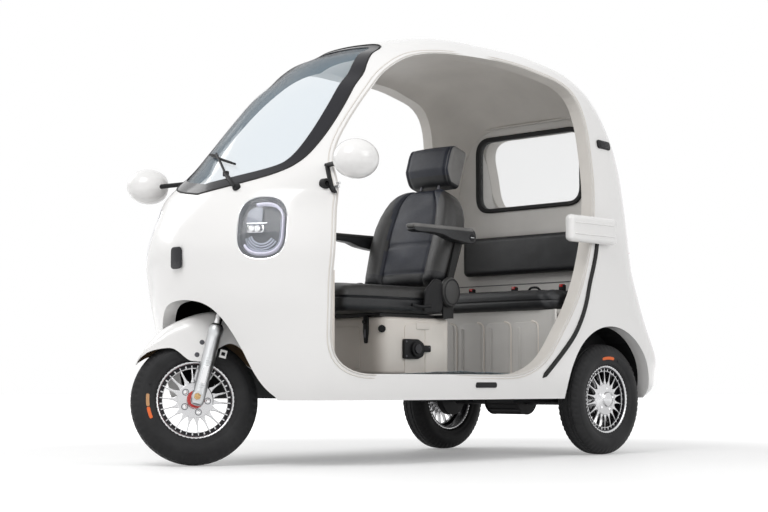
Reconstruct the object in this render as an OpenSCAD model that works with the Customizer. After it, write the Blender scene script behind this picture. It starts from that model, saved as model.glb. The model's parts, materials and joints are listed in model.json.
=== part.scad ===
// Three-wheeled electric cabin vehicle with a single steered front wheel.
// Forward is -Y, the vehicle's left is +X, and the ground is at Z = 0.

/* [Vehicle] */
// Distance between the front and rear wheel centres
wheelbase = 1796; // [1770:1:1820]
// Distance between the rear wheels' middle planes
track = 893; // [880:1:905]
// Distance of the rear axle behind the origin
rear_axle_y = 775; // [765:1:785]
// Angle to the right at which the front wheel is parked, which is also its stop
lock_angle = 34.5; // [30:0.5:36]

/* [Wheels] */
// Outer diameter of a tyre
tyre_d = 460; // [450:1:466]
// Width of a tyre
tyre_w = 112; // [104:1:116]
// Diameter of the rim's outer flange
rim_d = 282; // [270:1:290]
// Thickness of the rim's barrel
rim_wall = 7; // [5:0.5:9]
// Diameter of the wheel hub
hub_d = 132; // [124:1:138]
// Number of spokes in a wheel
spokes = 18; // [12:1:20]

/* [Body] */
// Width of the body at its widest
body_w = 1050; // [1020:2:1070]
// Thickness of the body wall with its lining
wall = 55; // [45:1:60]
// Height of the roof above the shoulder line
roof_rise = 705; // [690:1:715]
// Height of the cabin floor's upper face
floor_z = 330; // [325:1:336]
// Thickness of the floor pan
floor_t = 30; // [22:1:34]
// Width of the black border round the windscreen
screen_border = 42; // [34:1:50]
// Thickness of the window glass
glass_t = 6; // [4:0.5:8]

/* [Front fork] */
// Angle of the steering axis from the vertical
rake = 18; // [15:0.5:20]
// Distance of the front wheel's centre ahead of the steering axis
fork_offset = 22; // [16:1:30]
// Diameter of a lower fork leg
leg_d = 50; // [44:1:54]
// Distance between the two fork legs' middle lines
leg_span = 186; // [180:1:196]
// Diameter of the steering column
column_d = 34; // [28:1:38]
// Height of the front mudguard's rim over the tyre
guard_gap = 38; // [32:1:46]

/* [Seats] */
// Width of the driver's seat
seat_w = 460; // [420:2:470]
// Angle of the driver's backrest from the vertical
back_lean = 17; // [12:1:20]
// Width of an armrest
arm_w = 52; // [44:1:58]
// Length of an armrest
arm_l = 352; // [320:2:370]
// Width of the rear bench cushion
bench_w = 880; // [820:2:890]

/* [Hidden] */

$fn = 48;
big = 3000;
gap = 0.3;

// Body sections from the sill to the crown. The columns of each row are:
SEC_Z = 0;      // height
SEC_FRONT = 1;  // place of the nose on the centre line
SEC_REAR = 2;   // place of the tail on the centre line
SEC_HALF = 3;   // half of the width
SEC_TURN = 4;   // how far the wall has turned in to the roof, in degrees
SECTIONS = [
    [235, -995, 1190, 500, 0],
    [280, -1010, 1246, 512, 0],
    [330, -1023, 1250, 520, 0],
    [400, -1040, 1250, 525, 0],
    [460, -1055, 1226, 525, 0],
    [530, -1073, 1186, 525, 0],
    [600, -1090, 1152, 525, 0],
    [680, -1104, 1118, 525, 0],
    [760, -1115, 1086, 525, 0],
    [830, -1102, 1074, 522, 0],
    [910, -1070, 1066, 518, 0],
    [1000, -1014, 1060, 510, 0],
    [1100, -926, 1052, 500, 0],
    [1200, -851, 1042, 488, 3],
    [1310, -761, 1016, 473, 7],
    [1410, -664, 968, 460, 14],
    [1475, -580, 922, 450, 22],
    [1530, -504, 872, 436, 32],
    [1575, -429, 822, 412, 43],
    [1610, -338, 772, 384, 54],
    [1640, -268, 712, 344, 64],
    [1670, -165, 620, 292, 75],
    [1690, -72, 520, 222, 82],
    [1700, 25, 420, 140, 87]];
CROWN_Y = 222;
CROWN_RISE = 5;
// Shape of the nose in plan by height: length and roundness power
NOSE_LEN = [[235, 480], [900, 480], [1000, 462], [1100, 560], [1200, 636], [1310, 680], [1475, 676], [1575, 590],
    [1610, 550], [1640, 433], [1700, 180]];
NOSE_POW = [[235, 2.0], [900, 2.0], [1000, 2.08], [1100, 2.0], [1475, 2.0], [1575, 2.15], [1640, 2.27], [1700, 2.4]];
TAIL_LEN = [[235, 320], [1640, 320], [1700, 180]];
TAIL_POW = [[235, 3.2], [1640, 3.2], [1700, 2.4]];
SHOULDER_Z = 1000;
CROWN_TABLE_Z = 1705;

function sections_column(column) = [for (row = SECTIONS) [row[SEC_Z], row[column]]];
FRONT_BY_Z = sections_column(SEC_FRONT);
REAR_BY_Z = sections_column(SEC_REAR);
HALF_BY_Z = sections_column(SEC_HALF);
width_scale = body_w / (2 * 525);
rise_scale = roof_rise / (CROWN_TABLE_Z - SHOULDER_Z);

// The table's heights above the shoulder are stretched to the roof's height.
function real_z(z) = z <= SHOULDER_Z ? z : SHOULDER_Z + (z - SHOULDER_Z) * rise_scale;
function table_z(z) = z <= SHOULDER_Z ? z : SHOULDER_Z + (z - SHOULDER_Z) / rise_scale;
crown_z = real_z(CROWN_TABLE_Z);

// Half width of the skin at a place along the body and a height.
function skin_x(y, z) = let (t = table_z(z), f = lookup(t, FRONT_BY_Z), r = lookup(t, REAR_BY_Z),
    w = lookup(t, HALF_BY_Z) * width_scale, nl = lookup(t, NOSE_LEN), np = lookup(t, NOSE_POW),
    tl = lookup(t, TAIL_LEN), tp = lookup(t, TAIL_POW),
    a = max(0, min(1, (f + nl - y) / nl)), b = max(0, min(1, (y - r + tl) / tl)))
    w * pow(1 - pow(a, np), 1 / np) * pow(1 - pow(b, tp), 1 / tp);
// Place of the nose's skin at a distance from the centre line and a height.
function skin_front(x, z) = let (t = table_z(z), w = lookup(t, HALF_BY_Z) * width_scale,
    nl = lookup(t, NOSE_LEN), np = lookup(t, NOSE_POW))
    lookup(t, FRONT_BY_Z) + nl * (1 - pow(1 - pow(min(1, abs(x) / w), np), 1 / np));
// Place of the tail's skin in the same way.
function skin_rear(x, z) = let (t = table_z(z), w = lookup(t, HALF_BY_Z) * width_scale,
    tl = lookup(t, TAIL_LEN), tp = lookup(t, TAIL_POW))
    lookup(t, REAR_BY_Z) - tl * (1 - pow(1 - pow(min(1, abs(x) / w), tp), 1 / tp));

ring_steps = 9;
ring_n = 4 * ring_steps;
function signed_pow(v, p) = sign(v) * pow(abs(v), p);
// One ring of the body at a row of the table, drawn in by a distance along its normal.
function ring(row, inset, rear_limit) = let (z = row[SEC_Z], side = inset * cos(row[SEC_TURN]),
    w = row[SEC_HALF] * width_scale - side, f = row[SEC_FRONT] + side,
    r = min(row[SEC_REAR] - side, rear_limit),
    nl = min(lookup(z, NOSE_LEN) - side, (r - f) / 2), np = lookup(z, NOSE_POW),
    tl = min(lookup(z, TAIL_LEN) - side, (r - f) / 2), tp = lookup(z, TAIL_POW),
    up = real_z(z) - inset * sin(row[SEC_TURN]))
    [for (i = [0:ring_n - 1]) let (a = 360 * i / ring_n, p = sin(a) < 0 ? np : tp)
        [w * signed_pow(cos(a), 2 / p),
         sin(a) < 0 ? f + nl - nl * pow(-sin(a), 2 / p) : r - tl + tl * pow(sin(a), 2 / p), up]];

// The whole body as one closed form, drawn in by a distance, with its floor at or below the sill.
module body_form(inset = 0, low = 0, rear_limit = big) {
    base = SECTIONS[0];
    first = [base[SEC_Z] - low, base[SEC_FRONT], base[SEC_REAR], base[SEC_HALF], base[SEC_TURN]];
    rows = low > 0 ? concat([first], SECTIONS) : SECTIONS;
    count = len(rows);
    points = concat([for (row = rows) each ring(row, inset, rear_limit)],
        [[0, CROWN_Y, crown_z - inset]]);
    top = count * ring_n;
    sides = [for (k = [0:count - 2], i = [0:ring_n - 1]) let (j = (i + 1) % ring_n)
        [k * ring_n + i, (k + 1) * ring_n + i, (k + 1) * ring_n + j, k * ring_n + j]];
    cap = [for (i = [0:ring_n - 1]) [(count - 1) * ring_n + i, top, (count - 1) * ring_n + (i + 1) % ring_n]];
    polyhedron(points = points, faces = concat([[for (i = [0:ring_n - 1]) i]], sides, cap), convexity = 6);
}

// Outline of the door opening from the side, as corners that are rounded after.
DOOR_CORNERS = [[-700, 330], [-786, 396], [-806, 720], [-764, 985], [-690, 1147], [-562, 1301],
    [-437, 1433], [-300, 1545], [-150, 1592], [290, 1596], [598, 1540], [676, 1400], [678, 1100], [634, 890],
    [534, 637], [330, 386], [190, 330]];
door_round = 45;
module door_outline(grow = 0) {
    offset(r = door_round + grow, $fn = 28)
        offset(delta = -door_round)
            polygon([for (p = DOOR_CORNERS) [p[0], real_z(p[1])]]);
}
// Turns an outline drawn in (y, z) into a prism across the vehicle.
module across(from_x, to_x) {
    translate([from_x, 0, 0])
        rotate([90, 0, 90])
            linear_extrude(to_x - from_x)
                children();
}
// Turns an outline drawn in (x, z) into a prism along the vehicle.
module along(from_y, to_y) {
    translate([0, to_y, 0])
        rotate([90, 0, 0])
            linear_extrude(to_y - from_y)
                children();
}

// Outline of the windscreen from the front, on one side of the centre line.
SCREEN_SIDE = [[0, 985], [127, 1003], [232, 1028], [293, 1058], [318, 1104], [324, 1182], [316, 1275],
    [299, 1385], [262, 1515], [214, 1600], [170, 1636], [0, 1640]];
module screen_outline(shrink = 0) {
    offset(delta = -shrink)
        polygon(concat([for (p = SCREEN_SIDE) [p[0] * width_scale, real_z(p[1])]],
            [for (i = [len(SCREEN_SIDE) - 2:-1:1]) [-SCREEN_SIDE[i][0] * width_scale, real_z(SCREEN_SIDE[i][1])]]));
}
screen_rear_y = -225;

// Rear window, seen from behind.
rear_glass_w = 606;
rear_glass_z = 1078;
rear_glass_top = 1412;
rear_glass_round = 75;
bulkhead_y = 862;
bulkhead_t = 30;
module rear_window_outline(grow = 0) {
    translate([0, (rear_glass_z + rear_glass_top) / 2])
        offset(r = rear_glass_round + grow, $fn = 20)
            square([rear_glass_w - 2 * rear_glass_round, rear_glass_top - rear_glass_z - 2 * rear_glass_round], center = true);
}

// Front wheel opening, as half widths by height.
ARCH_FRONT = [[315, 0], [315, 232], [280, 270], [250, 334], [225, 420], [190, 500], [150, 555], [100, 585], [40, 595]];
well_play = 66;
well_back_y = rear_axle_y - wheelbase + tyre_d / 2 + well_play;
well_top_z = 640;
well_t = 12;
module front_arch() {
    along(-big / 2, well_back_y)
        polygon(concat(ARCH_FRONT, [for (i = [len(ARCH_FRONT) - 1:-1:0]) [-ARCH_FRONT[i][0], ARCH_FRONT[i][1]]]));
}
arch_gap = 54;
arch_lift = 20;
arch_r = tyre_d / 2 + arch_gap;
arch_y = rear_axle_y - 10;
arch_z = tyre_d / 2 + arch_lift;
module rear_arch(r) {
    translate([0, arch_y, arch_z])
        rotate([0, 90, 0])
            cylinder(h = big, r = r, center = true, $fn = 48);
    translate([-big / 2, arch_y - r, -10])
        cube([big, 2 * r, arch_z + 10]);
}

// Headlamps: place on the nose, size and direction.
LAMP_X = 322;
LAMP_Z = 850;
LAMP_W = 182;
LAMP_H = 240;
LAMP_ROUND = 86;
LAMP_YAW = 36;
LAMP_PITCH = 14;
lamp_depth = 74;
module lamp_prism(grow = 0) {
    for (side = [-1, 1])
        translate([side * LAMP_X * width_scale, skin_front(LAMP_X * width_scale, LAMP_Z), LAMP_Z])
            rotate([0, 0, side * LAMP_YAW])
                rotate([90 - LAMP_PITCH, 0, 0])
                    translate([0, 0, -lamp_depth])
                        linear_extrude(lamp_depth + 60)
                            offset(r = LAMP_ROUND + grow, $fn = 28)
                                square([LAMP_W - 2 * LAMP_ROUND, LAMP_H - 2 * LAMP_ROUND], center = true);
}
// Tail lamps: upright ovals on the rear corners.
TAIL_X = 405;
TAIL_Z = 800;
module tail_prism() {
    for (side = [-1, 1])
        translate([side * TAIL_X * width_scale, skin_rear(TAIL_X * width_scale, TAIL_Z) - 45, TAIL_Z])
            rotate([0, 0, -side * 32])
                rotate([-90, 0, 0])
                    linear_extrude(110)
                        offset(r = 38, $fn = 20)
                            square([4, 124], center = true);
}

front_split_y = -330;
rear_split_y = 600;
sill_front_y = -690;
sill_rear_y = arch_y - arch_r - 6;
sill_cut_z = 600;
roof_low_z = 1200;

// The wall of the body with all of its openings.
module body_wall() {
    difference() {
        body_form();
        body_form(wall, 60);
        across(-big / 2, big / 2) door_outline();
        along(-big / 2, screen_rear_y) screen_outline();
        along(0, big / 2) rear_window_outline();
        front_arch();
        rear_arch(arch_r);
        lamp_prism();
        tail_prism();
    }
}
module part_of_wall(y0, y1, z0, z1) {
    resize([0, 0, 0])
        intersection() {
            body_wall();
            translate([-big / 2, y0, z0]) cube([big, y1 - y0, z1 - z0]);
        }
}
module front_shell() {
    color("white")
        resize([0, 0, 0])
            difference() {
                intersection() {
                    body_wall();
                    translate([-big / 2, -big / 2, 0]) cube([big, front_split_y + big / 2, 2 * big]);
                }
                translate([-big / 2, sill_front_y, 0]) cube([big, big, sill_cut_z]);
            }
}
module roof_shell() {
    color("white") part_of_wall(front_split_y, rear_split_y, roof_low_z, big);
}
module rear_shell() {
    color("white")
        resize([0, 0, 0])
            difference() {
                intersection() {
                    body_wall();
                    translate([-big / 2, sill_rear_y, 0]) cube([big, big, big]);
                }
                translate([-big / 2, -big + rear_split_y, roof_low_z]) cube([big, big, big]);
            }
}
module side_sills() {
    color("white") part_of_wall(sill_front_y, sill_rear_y, 0, SHOULDER_Z);
}

// Space inside the body wall, between two heights and two places along it.
module inside(y0, y1, z0, z1, shy = 0) {
    resize([0, 0, 0])
        intersection() {
            body_form(wall + shy, 60);
            translate([-big / 2, y0, z0]) cube([big, y1 - y0, z1 - z0]);
        }
}

rail_h = 38;
rail_w = 40;
rail_top = floor_z - floor_t;
rail_x = 250;
rail_kick = 78;
rear_rail_top = rail_top + rail_kick;
rail_front_y = -650;
rail_rear_y = 1174;
tow_spacing = 120;
tow_hole_d = 13;
well_half = 320;
house_x = 352;
house_t = 6;
house_r = arch_r + 14;
house_y0 = arch_y - house_r;
house_y1 = arch_y + house_r;
post_half = 25;
post_gap = 7;
post_y0 = well_back_y + well_t + post_gap;
post_l = 40;
neck_z = 654;
neck_h = 46;
cover_gap = 4;
cover_t = 6;
cover_half = well_half + well_t + cover_gap;
cover_back_y = post_y0 + post_l + cover_gap;
cover_top = neck_z + neck_h + cover_gap;
module neck_space() {
    translate([-post_half, post_y0, 0]) cube([2 * post_half, post_l, neck_z + neck_h]);
}
module floor_pan() {
    color("dimgray")
        resize([0, 0, 0])
            difference() {
                inside(-900, bench_y0 + panel_t, rail_top, floor_z);
                for (side = [-1, 1])
                    translate([side * (house_x + 500), arch_y, 0]) cube([1000, 2 * house_r, big], center = true);
                translate([-well_half - well_t, -big, 0]) cube([2 * (well_half + well_t), big + well_back_y + well_t, big]);
                neck_space();
            }
}

module chassis_frame() {
    color("black")
        difference() {
            union() {
                for (side = [-1, 1])
                    translate([side * rail_x - rail_w / 2, rail_front_y, rail_top - rail_h])
                        cube([rail_w, kick_y + rail_w - rail_front_y, rail_h]);
                for (side = [-1, 1])
                    translate([side * rail_x - rail_w / 2, kick_y, rail_top - 1]) cube([rail_w, rail_w, rail_kick + 1]);
                for (side = [-1, 1])
                    translate([side * rail_x - rail_w / 2, kick_y, rear_rail_top - rail_h])
                        cube([rail_w, rail_rear_y - kick_y, rail_h]);
                for (y = [-560, -120, 300])
                    translate([-rail_x, y, rail_top - rail_h]) cube([2 * rail_x, 36, rail_h]);
                for (y = [600, rail_rear_y - 36])
                    translate([-rail_x, y, rear_rail_top - rail_h]) cube([2 * rail_x, 36, rail_h]);
                for (side = [-1, 1], y = [-520, -60, 360])
                    translate([side * (rail_x + 90) - 90, y, rail_top - rail_h]) cube([180, 30, rail_h]);
                translate([-rail_x - rail_w / 2, post_y0, rail_top - rail_h]) cube([2 * rail_x + rail_w, post_l + 20, rail_h]);
                translate([-post_half, post_y0, rail_top - 1]) cube([2 * post_half, post_l, neck_z + neck_h - rail_top + 1]);
                translate([-post_half, -870, neck_z]) cube([2 * post_half, 870 + post_y0 + 1, neck_h]);
                steer_place() translate([0, 0, head_z0]) cylinder(h = head_l, d = head_d);
            }
            steer_place() cylinder(h = 1000, d = column_d + 2 * gap);
            for (x = [-tow_spacing / 2, tow_spacing / 2])
                translate([x, rail_rear_y - 18, 0]) cylinder(h = big, d = tow_hole_d);
        }
}

module wheel_well() {
    color("black")
        resize([0, 0, 0])
            difference() {
                intersection() {
                    translate([-well_half - well_t, -1100, 240])
                        cube([2 * (well_half + well_t), 1100 + well_back_y + well_t, well_top_z - 240]);
                    body_form(wall, 60);
                }
                translate([-well_half, -1200, 200]) cube([2 * well_half, 1200 + well_back_y, well_top_z - 200 - well_t]);
                steer_place() cylinder(h = 900, d = head_d + 2, $fn = 32);
            }
}
module tunnel_cover() {
    color("ivory")
        resize([0, 0, 0])
            difference() {
                intersection() {
                    translate([-cover_half - cover_t, knee_y, floor_z])
                        cube([2 * (cover_half + cover_t), cover_back_y + cover_t - knee_y, cover_top + cover_t - floor_z]);
                    body_form(wall, 60);
                }
                translate([-cover_half, -big, 0]) cube([2 * cover_half, big + cover_back_y, cover_top]);
                steer_place() cylinder(h = 900, d = head_d + 8, $fn = 32);
            }
}

module wheel_houses() {
    color("black")
        for (side = [-1, 1])
            resize([0, 0, 0])
                intersection() {
                    inside(house_y0, house_y1, 255, 700);
                    difference() {
                        translate([side * (house_x + 100), arch_y, arch_z]) rotate([0, 90, 0])
                            cylinder(h = 200, r = house_r, center = true, $fn = 36);
                        translate([side * (house_x + house_t + 200), arch_y, arch_z]) rotate([0, 90, 0])
                            cylinder(h = 400, r = arch_r, center = true, $fn = 36);
                    }
                }
}

knee_y = -945;
knee_t = 12;
dash_z = 950;
dash_t = 20;
dash_rear_y = -835;
module knee_panel() {
    color("ivory")
        resize([0, 0, 0])
            difference() {
                inside(knee_y, knee_y + knee_t, floor_z, dash_z);
                translate([-cover_half - cover_t, -big, 0]) cube([2 * (cover_half + cover_t), 2 * big, cover_top + cover_t]);
                lamp_prism(1);
            }
}
module dash_shelf() {
    color("ivory")
        resize([0, 0, 0])
            difference() {
                inside(-1100, dash_rear_y, dash_z, dash_z + dash_t);
                steer_place() cylinder(h = 1200, d = 84, $fn = 32);
                lamp_prism(1);
            }
}
module column_cover() {
    color("ivory")
        difference() {
            hull() {
                translate([-75, knee_y + knee_t, cover_top + cover_t]) cube([150, 150, 1]);
                translate([-60, knee_y + 70, dash_z - 1]) cube([120, 170, 1]);
            }
            steer_place() cylinder(h = 1200, d = head_d + 8, $fn = 48);
        }
}
module rear_bulkhead() {
    color("ivory")
        resize([0, 0, 0])
            difference() {
                union() {
                    inside(bulkhead_y, bulkhead_y + bulkhead_t, rear_rail_top, 1660);
                    intersection() {
                        inside(bulkhead_y, big, rear_glass_z - 60, rear_glass_top + 60);
                        along(bulkhead_y, big) rear_window_outline(14);
                    }
                }
                along(0, big) rear_window_outline();
                house_space();
            }
}
module house_space() {
    for (side = [-1, 1])
        translate([side * (house_x + 200), arch_y, arch_z]) rotate([0, 90, 0])
            cylinder(h = 400, r = house_r, center = true, $fn = 36);
}

screen_in = 4;
surround_t = 18;
module windscreen() {
    color("lightblue", 0.5)
        resize([0, 0, 0])
            intersection() {
                difference() {
                    body_form(screen_in + 4);
                    body_form(screen_in + 4 + glass_t);
                }
                along(-big / 2, screen_rear_y) screen_outline(screen_border);
            }
}
module screen_surround() {
    color("black")
        resize([0, 0, 0])
            difference() {
                intersection() {
                    difference() {
                        body_form(screen_in);
                        body_form(screen_in + surround_t);
                    }
                    along(-big / 2, screen_rear_y) screen_outline();
                }
                along(-big, 0) screen_outline(screen_border);
            }
}
seal_w = 22;
module rear_window() {
    color("lightblue", 0.5)
        along(bulkhead_y + 8, bulkhead_y + 8 + glass_t) rear_window_outline(-seal_w);
}
module rear_window_seal() {
    color("black")
        difference() {
            union() {
                along(bulkhead_y - 8, bulkhead_y - gap) rear_window_outline(14);
                along(bulkhead_y - gap, bulkhead_y + bulkhead_t) rear_window_outline();
            }
            along(0, big) rear_window_outline(-seal_w);
        }
}

module headlamps() {
    color("silver")
        resize([0, 0, 0])
            intersection() {
                body_form(-8);
                lamp_prism();
            }
}
module tail_lamps() {
    color("darkred")
        resize([0, 0, 0])
            intersection() {
                body_form(-5);
                tail_prism();
            }
}

MIRROR_X = 543;
MIRROR_Y = -797;
MIRROR_Z = 1083;
mirror_l = 176;
mirror_h = 142;
mirror_w = 156;
mirror_face = 56;
module mirror_at(side) {
    translate([side * (MIRROR_X * width_scale + 55), MIRROR_Y, MIRROR_Z]) rotate([0, 0, side * 8]) children();
}
// Cuts away what would lie inside the body, so that a fitting sits on the skin.
module on_skin() {
    resize([0, 0, 0])
        difference() {
            children();
            body_form();
        }
}
module mirrors() {
    color("white")
        resize([0, 0, 0])
            for (side = [-1, 1])
                difference() {
                    mirror_at(side)
                        difference() {
                            resize([mirror_w, mirror_l, mirror_h]) sphere(d = 100, $fn = 20);
                            translate([-200, mirror_face, -200]) cube([400, 200, 400]);
                        }
                    mirror_arm(side);
                }
}
// Mirror bracket on the door's front edge, as places seen from the side.
BRACKET_TIP = [-738, 1088];
BRACKET_FOOT = [-779, 985];
BRACKET_RING = [-798, 1008];
ring_d = 36;
module bracket_at(side, p, out = 0) {
    translate([side * (skin_x(p[0], p[1]) + out), p[0], p[1]]) rotate([0, 90, 0]) children();
}
module mirror_arm(side) {
    hull() {
        bracket_at(side, BRACKET_TIP) cylinder(h = 24, d = 18, center = true, $fn = 16);
        translate([side * MIRROR_X * width_scale, MIRROR_Y - 12, MIRROR_Z - 8]) sphere(d = 18, $fn = 10);
    }
}
module mirror_brackets() {
    color("black")
        on_skin()
            for (side = [-1, 1]) {
                mirror_arm(side);
                hull() {
                    bracket_at(side, BRACKET_TIP) cylinder(h = 20, d = 10, center = true, $fn = 16);
                    bracket_at(side, BRACKET_FOOT) cylinder(h = 20, d = 22, center = true, $fn = 16);
                }
                difference() {
                    bracket_at(side, BRACKET_RING, 4) cylinder(h = 24, d = ring_d, center = true, $fn = 24);
                    bracket_at(side, BRACKET_RING, 14) cylinder(h = 16, d = ring_d - 16, center = true, $fn = 24);
                }
            }
}

// Wiper: places across and up the windscreen.
WIPER_ROOT = [182, 1001];
WIPER_KNEE = [-52, 1154];
BLADE_LEFT = [-124, 1160];
BLADE_RIGHT = [93, 1099];
module wiper_point(p, lift) {
    translate([p[0], skin_front(p[0], p[1]) - lift, p[1]]) children();
}
module wiper() {
    color("black")
        on_skin() {
            hull() {
                wiper_point(WIPER_ROOT, 6) sphere(d = 26, $fn = 10);
                wiper_point(WIPER_KNEE, 14) sphere(d = 12, $fn = 10);
            }
            hull() {
                wiper_point(BLADE_LEFT, 8) sphere(d = 11, $fn = 10);
                wiper_point(BLADE_RIGHT, 8) sphere(d = 11, $fn = 10);
            }
        }
}

LATCH_Z = 930;
latch_out = 40;
module latch_covers() {
    color("white")
        on_skin()
            for (side = [-1, 1])
                hull()
                    for (y = [478, 730], z = [LATCH_Z - 28, LATCH_Z + 28])
                        translate([side * (skin_x(650, LATCH_Z) + latch_out / 2), y, z])
                            rotate([0, 90, 0]) cylinder(h = latch_out, r = 24, center = true, $fn = 16);
}
module quarter_trims() {
    color("black")
        on_skin()
            for (side = [-1, 1])
                hull()
                    for (y = [705, 745])
                        translate([side * skin_x(y, 1290), y, 1290]) rotate([0, 90, 0]) cylinder(h = 8, r = 22, center = true, $fn = 16);
}

// Driver's seat.
box_w = 430;
box_y0 = -280;
box_y1 = 105;
box_top = 556;
box_t = 8;
box_round = 36;
module rounded_box(w, y0, y1, z0, z1, r) {
    hull()
        for (x = [-w / 2 + r, w / 2 - r], y = [y0 + r, y1 - r])
            translate([x, y, z0]) cylinder(h = z1 - z0, r = r, $fn = 24);
}
module seat_box() {
    color("ivory")
        difference() {
            rounded_box(box_w, box_y0, box_y1, floor_z, box_top, box_round);
            rounded_box(box_w - 2 * box_t, box_y0 + box_t, box_y1 - box_t, floor_z - 1, box_top - box_t, box_round - box_t);
        }
}
module battery() {
    color("dimgray")
        translate([-170, -232, floor_z]) cube([340, 290, 190]);
}
base_t = 12;
pivot_y = 70;
pivot_z = 672;
plate_x = seat_w / 2 + 10.6;
plate_t = 7;
cushion_z0 = box_top + base_t + gap;
module seat_base() {
    color("black") {
        translate([-200, box_y0, box_top]) cube([400, box_y1 - box_y0, base_t]);
        for (side = [-1, 1]) {
            translate([side > 0 ? 200 : -plate_x - plate_t, pivot_y - 40, box_top]) cube([plate_x + plate_t - 200, 60, base_t]);
            difference() {
                translate([side > 0 ? plate_x : -plate_x - plate_t, 0, 0])
                    rotate([90, 0, 90])
                        linear_extrude(plate_t)
                            union() {
                                translate([pivot_y, pivot_z]) circle(r = 40);
                                translate([pivot_y - 40, box_top]) square([60, pivot_z - box_top]);
                            }
            }
            translate([side * (plate_x - 8), pivot_y, pivot_z]) rotate([0, 90, 0]) cylinder(h = 16, r = 8, center = true);
        }
    }
}
cushion_front = -505;
module seat_cushion() {
    color("black")
        hull()
            for (x = [-seat_w / 2 + 30, seat_w / 2 - 30], y = [cushion_front + 35, 40 - 30], z = [cushion_z0 + 24, 684 - 24])
                translate([x, y, z]) sphere(r = 24, $fn = 12);
}
module recliner_covers() {
    color("black")
        for (side = [-1, 1])
            translate([side * (plate_x + plate_t + gap + 12), pivot_y, pivot_z]) rotate([0, 90, 0]) cylinder(h = 24, r = 44, center = true);
}
// Everything on the backrest is drawn upright with the recline pivot at the origin, then leaned back.
module back_place() {
    translate([0, pivot_y, pivot_z]) rotate([-back_lean, 0, 0]) children();
}
arm_pivot = [24, 228];
bar_x = seat_w / 2 + gap;
bar_t = 8;
module back_frame() {
    color("black")
        for (side = [-1, 1])
            back_place() {
                difference() {
                    translate([side > 0 ? bar_x : -bar_x - bar_t, 0, 0])
                        rotate([90, 0, 90])
                            linear_extrude(bar_t)
                                difference() {
                                    union() {
                                        circle(r = 30);
                                        translate([-16, 0]) square([32, 230]);
                                        translate(arm_pivot) circle(r = 24);
                                        translate([-10, 205]) square([34, 36]);
                                    }
                                    circle(r = 8.3);
                                }
                }
                translate([side * (bar_x + bar_t + 20), arm_pivot[0], arm_pivot[1]]) rotate([0, 90, 0]) cylinder(h = 40, r = 8, center = true);
            }
}
back_top = 420;
back_t = 96;
// Half outline of the backrest, as distances in from its side and heights above the pivot.
BACK_INSET = [[36, 40], [26, 200], [46, 308], [108, 386.5]];
BACK_EDGE = [for (p = BACK_INSET) [seat_w / 2 - p[0], p[1]]];
module seat_back() {
    color("black")
        back_place()
            hull()
                for (p = BACK_EDGE, side = [-1, 1], y = [-20, back_t - 60])
                    translate([side * p[0], y, p[1]]) sphere(r = 26, $fn = 12);
}
head_w = 256;
module headrest() {
    color("black")
        back_place() {
            hull()
                for (x = [-head_w / 2 + 34, head_w / 2 - 34], y = [-4, 34], z = [back_top + 78, back_top + 186])
                    translate([x, y, z]) sphere(r = 30, $fn = 12);
            for (x = [-50, 50])
                translate([x, 12, back_top - 8]) cylinder(h = 62, d = 12);
        }
}
module armrest(side) {
    color("black")
        back_place()
            translate([side * (bar_x + bar_t + gap + arm_w / 2), arm_pivot[0], arm_pivot[1]])
                rotate([back_lean, 0, 0])
                    difference() {
                        union() {
                            rotate([0, 90, 0]) cylinder(h = arm_w - 16, r = 24, center = true);
                            translate([-arm_w / 2 + 8, -arm_l + 20, -6]) cube([arm_w - 16, arm_l - 20, 12]);
                            hull()
                                for (x = [-arm_w / 2 + 12, arm_w / 2 - 12], y = [-arm_l + 24, -30], z = [6, 26])
                                    translate([x, y, z]) sphere(r = 12, $fn = 16);
                        }
                        rotate([0, 90, 0]) cylinder(h = arm_w + 20, r = 8.3, center = true);
                    }
}
module armrest_left() {
    armrest(1);
}
module armrest_right() {
    armrest(-1);
}

// Rear bench.
bench_y0 = 505;
bench_rise = 52;
bench_top = arch_z + house_r + bench_rise;
bench_cushion_h = 90;
bench_cushion_top = bench_top + bench_cushion_h;
panel_t = 12;
kick_y = bench_y0 + panel_t + 4;
module bench_box() {
    color("ivory")
        resize([0, 0, 0])
            union() {
                translate([-house_x + 4, bench_y0, floor_z]) cube([2 * house_x - 8, panel_t, bench_top - floor_z]);
                difference() {
                    translate([-house_x + 4, bench_y0, rear_rail_top])
                        cube([2 * house_x - 8, bulkhead_y - bench_y0, bench_top - rear_rail_top]);
                    translate([-house_x + 4 + panel_t, bench_y0 + panel_t, rear_rail_top - 1])
                        cube([2 * (house_x - 4 - panel_t), bulkhead_y - bench_y0, bench_top - rear_rail_top - panel_t + 1]);
                }
                difference() {
                    inside(bench_y0, bulkhead_y, bench_top - 34, bench_top);
                    translate([-house_x + 6, 0, 0]) cube([2 * house_x - 12, big, big]);
                }
                for (x = [-240, -80, 80, 240])
                    translate([x, bench_y0, floor_z + 10]) cylinder(h = 190, r = 9, $fn = 12);
            }
}
module bench_cushion() {
    color("black")
        hull() {
            rounded_box(bench_w - 4, bench_y0 - 28, bulkhead_y - 2, bench_top + gap, bench_cushion_top - 18, 34);
            rounded_box(bench_w - 40, bench_y0 - 10, bulkhead_y - 20, bench_top + gap, bench_cushion_top, 34);
        }
}
bench_back_x = 334;
bench_back_low = 208;
bench_back_high = 330;
module bench_back() {
    color("black")
        hull()
            for (x = [-bench_back_x, bench_back_x], z = [bench_top + bench_back_low, bench_top + bench_back_high])
                translate([x, bulkhead_y - 26 - gap, z]) sphere(r = 26, $fn = 12);
}

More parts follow.
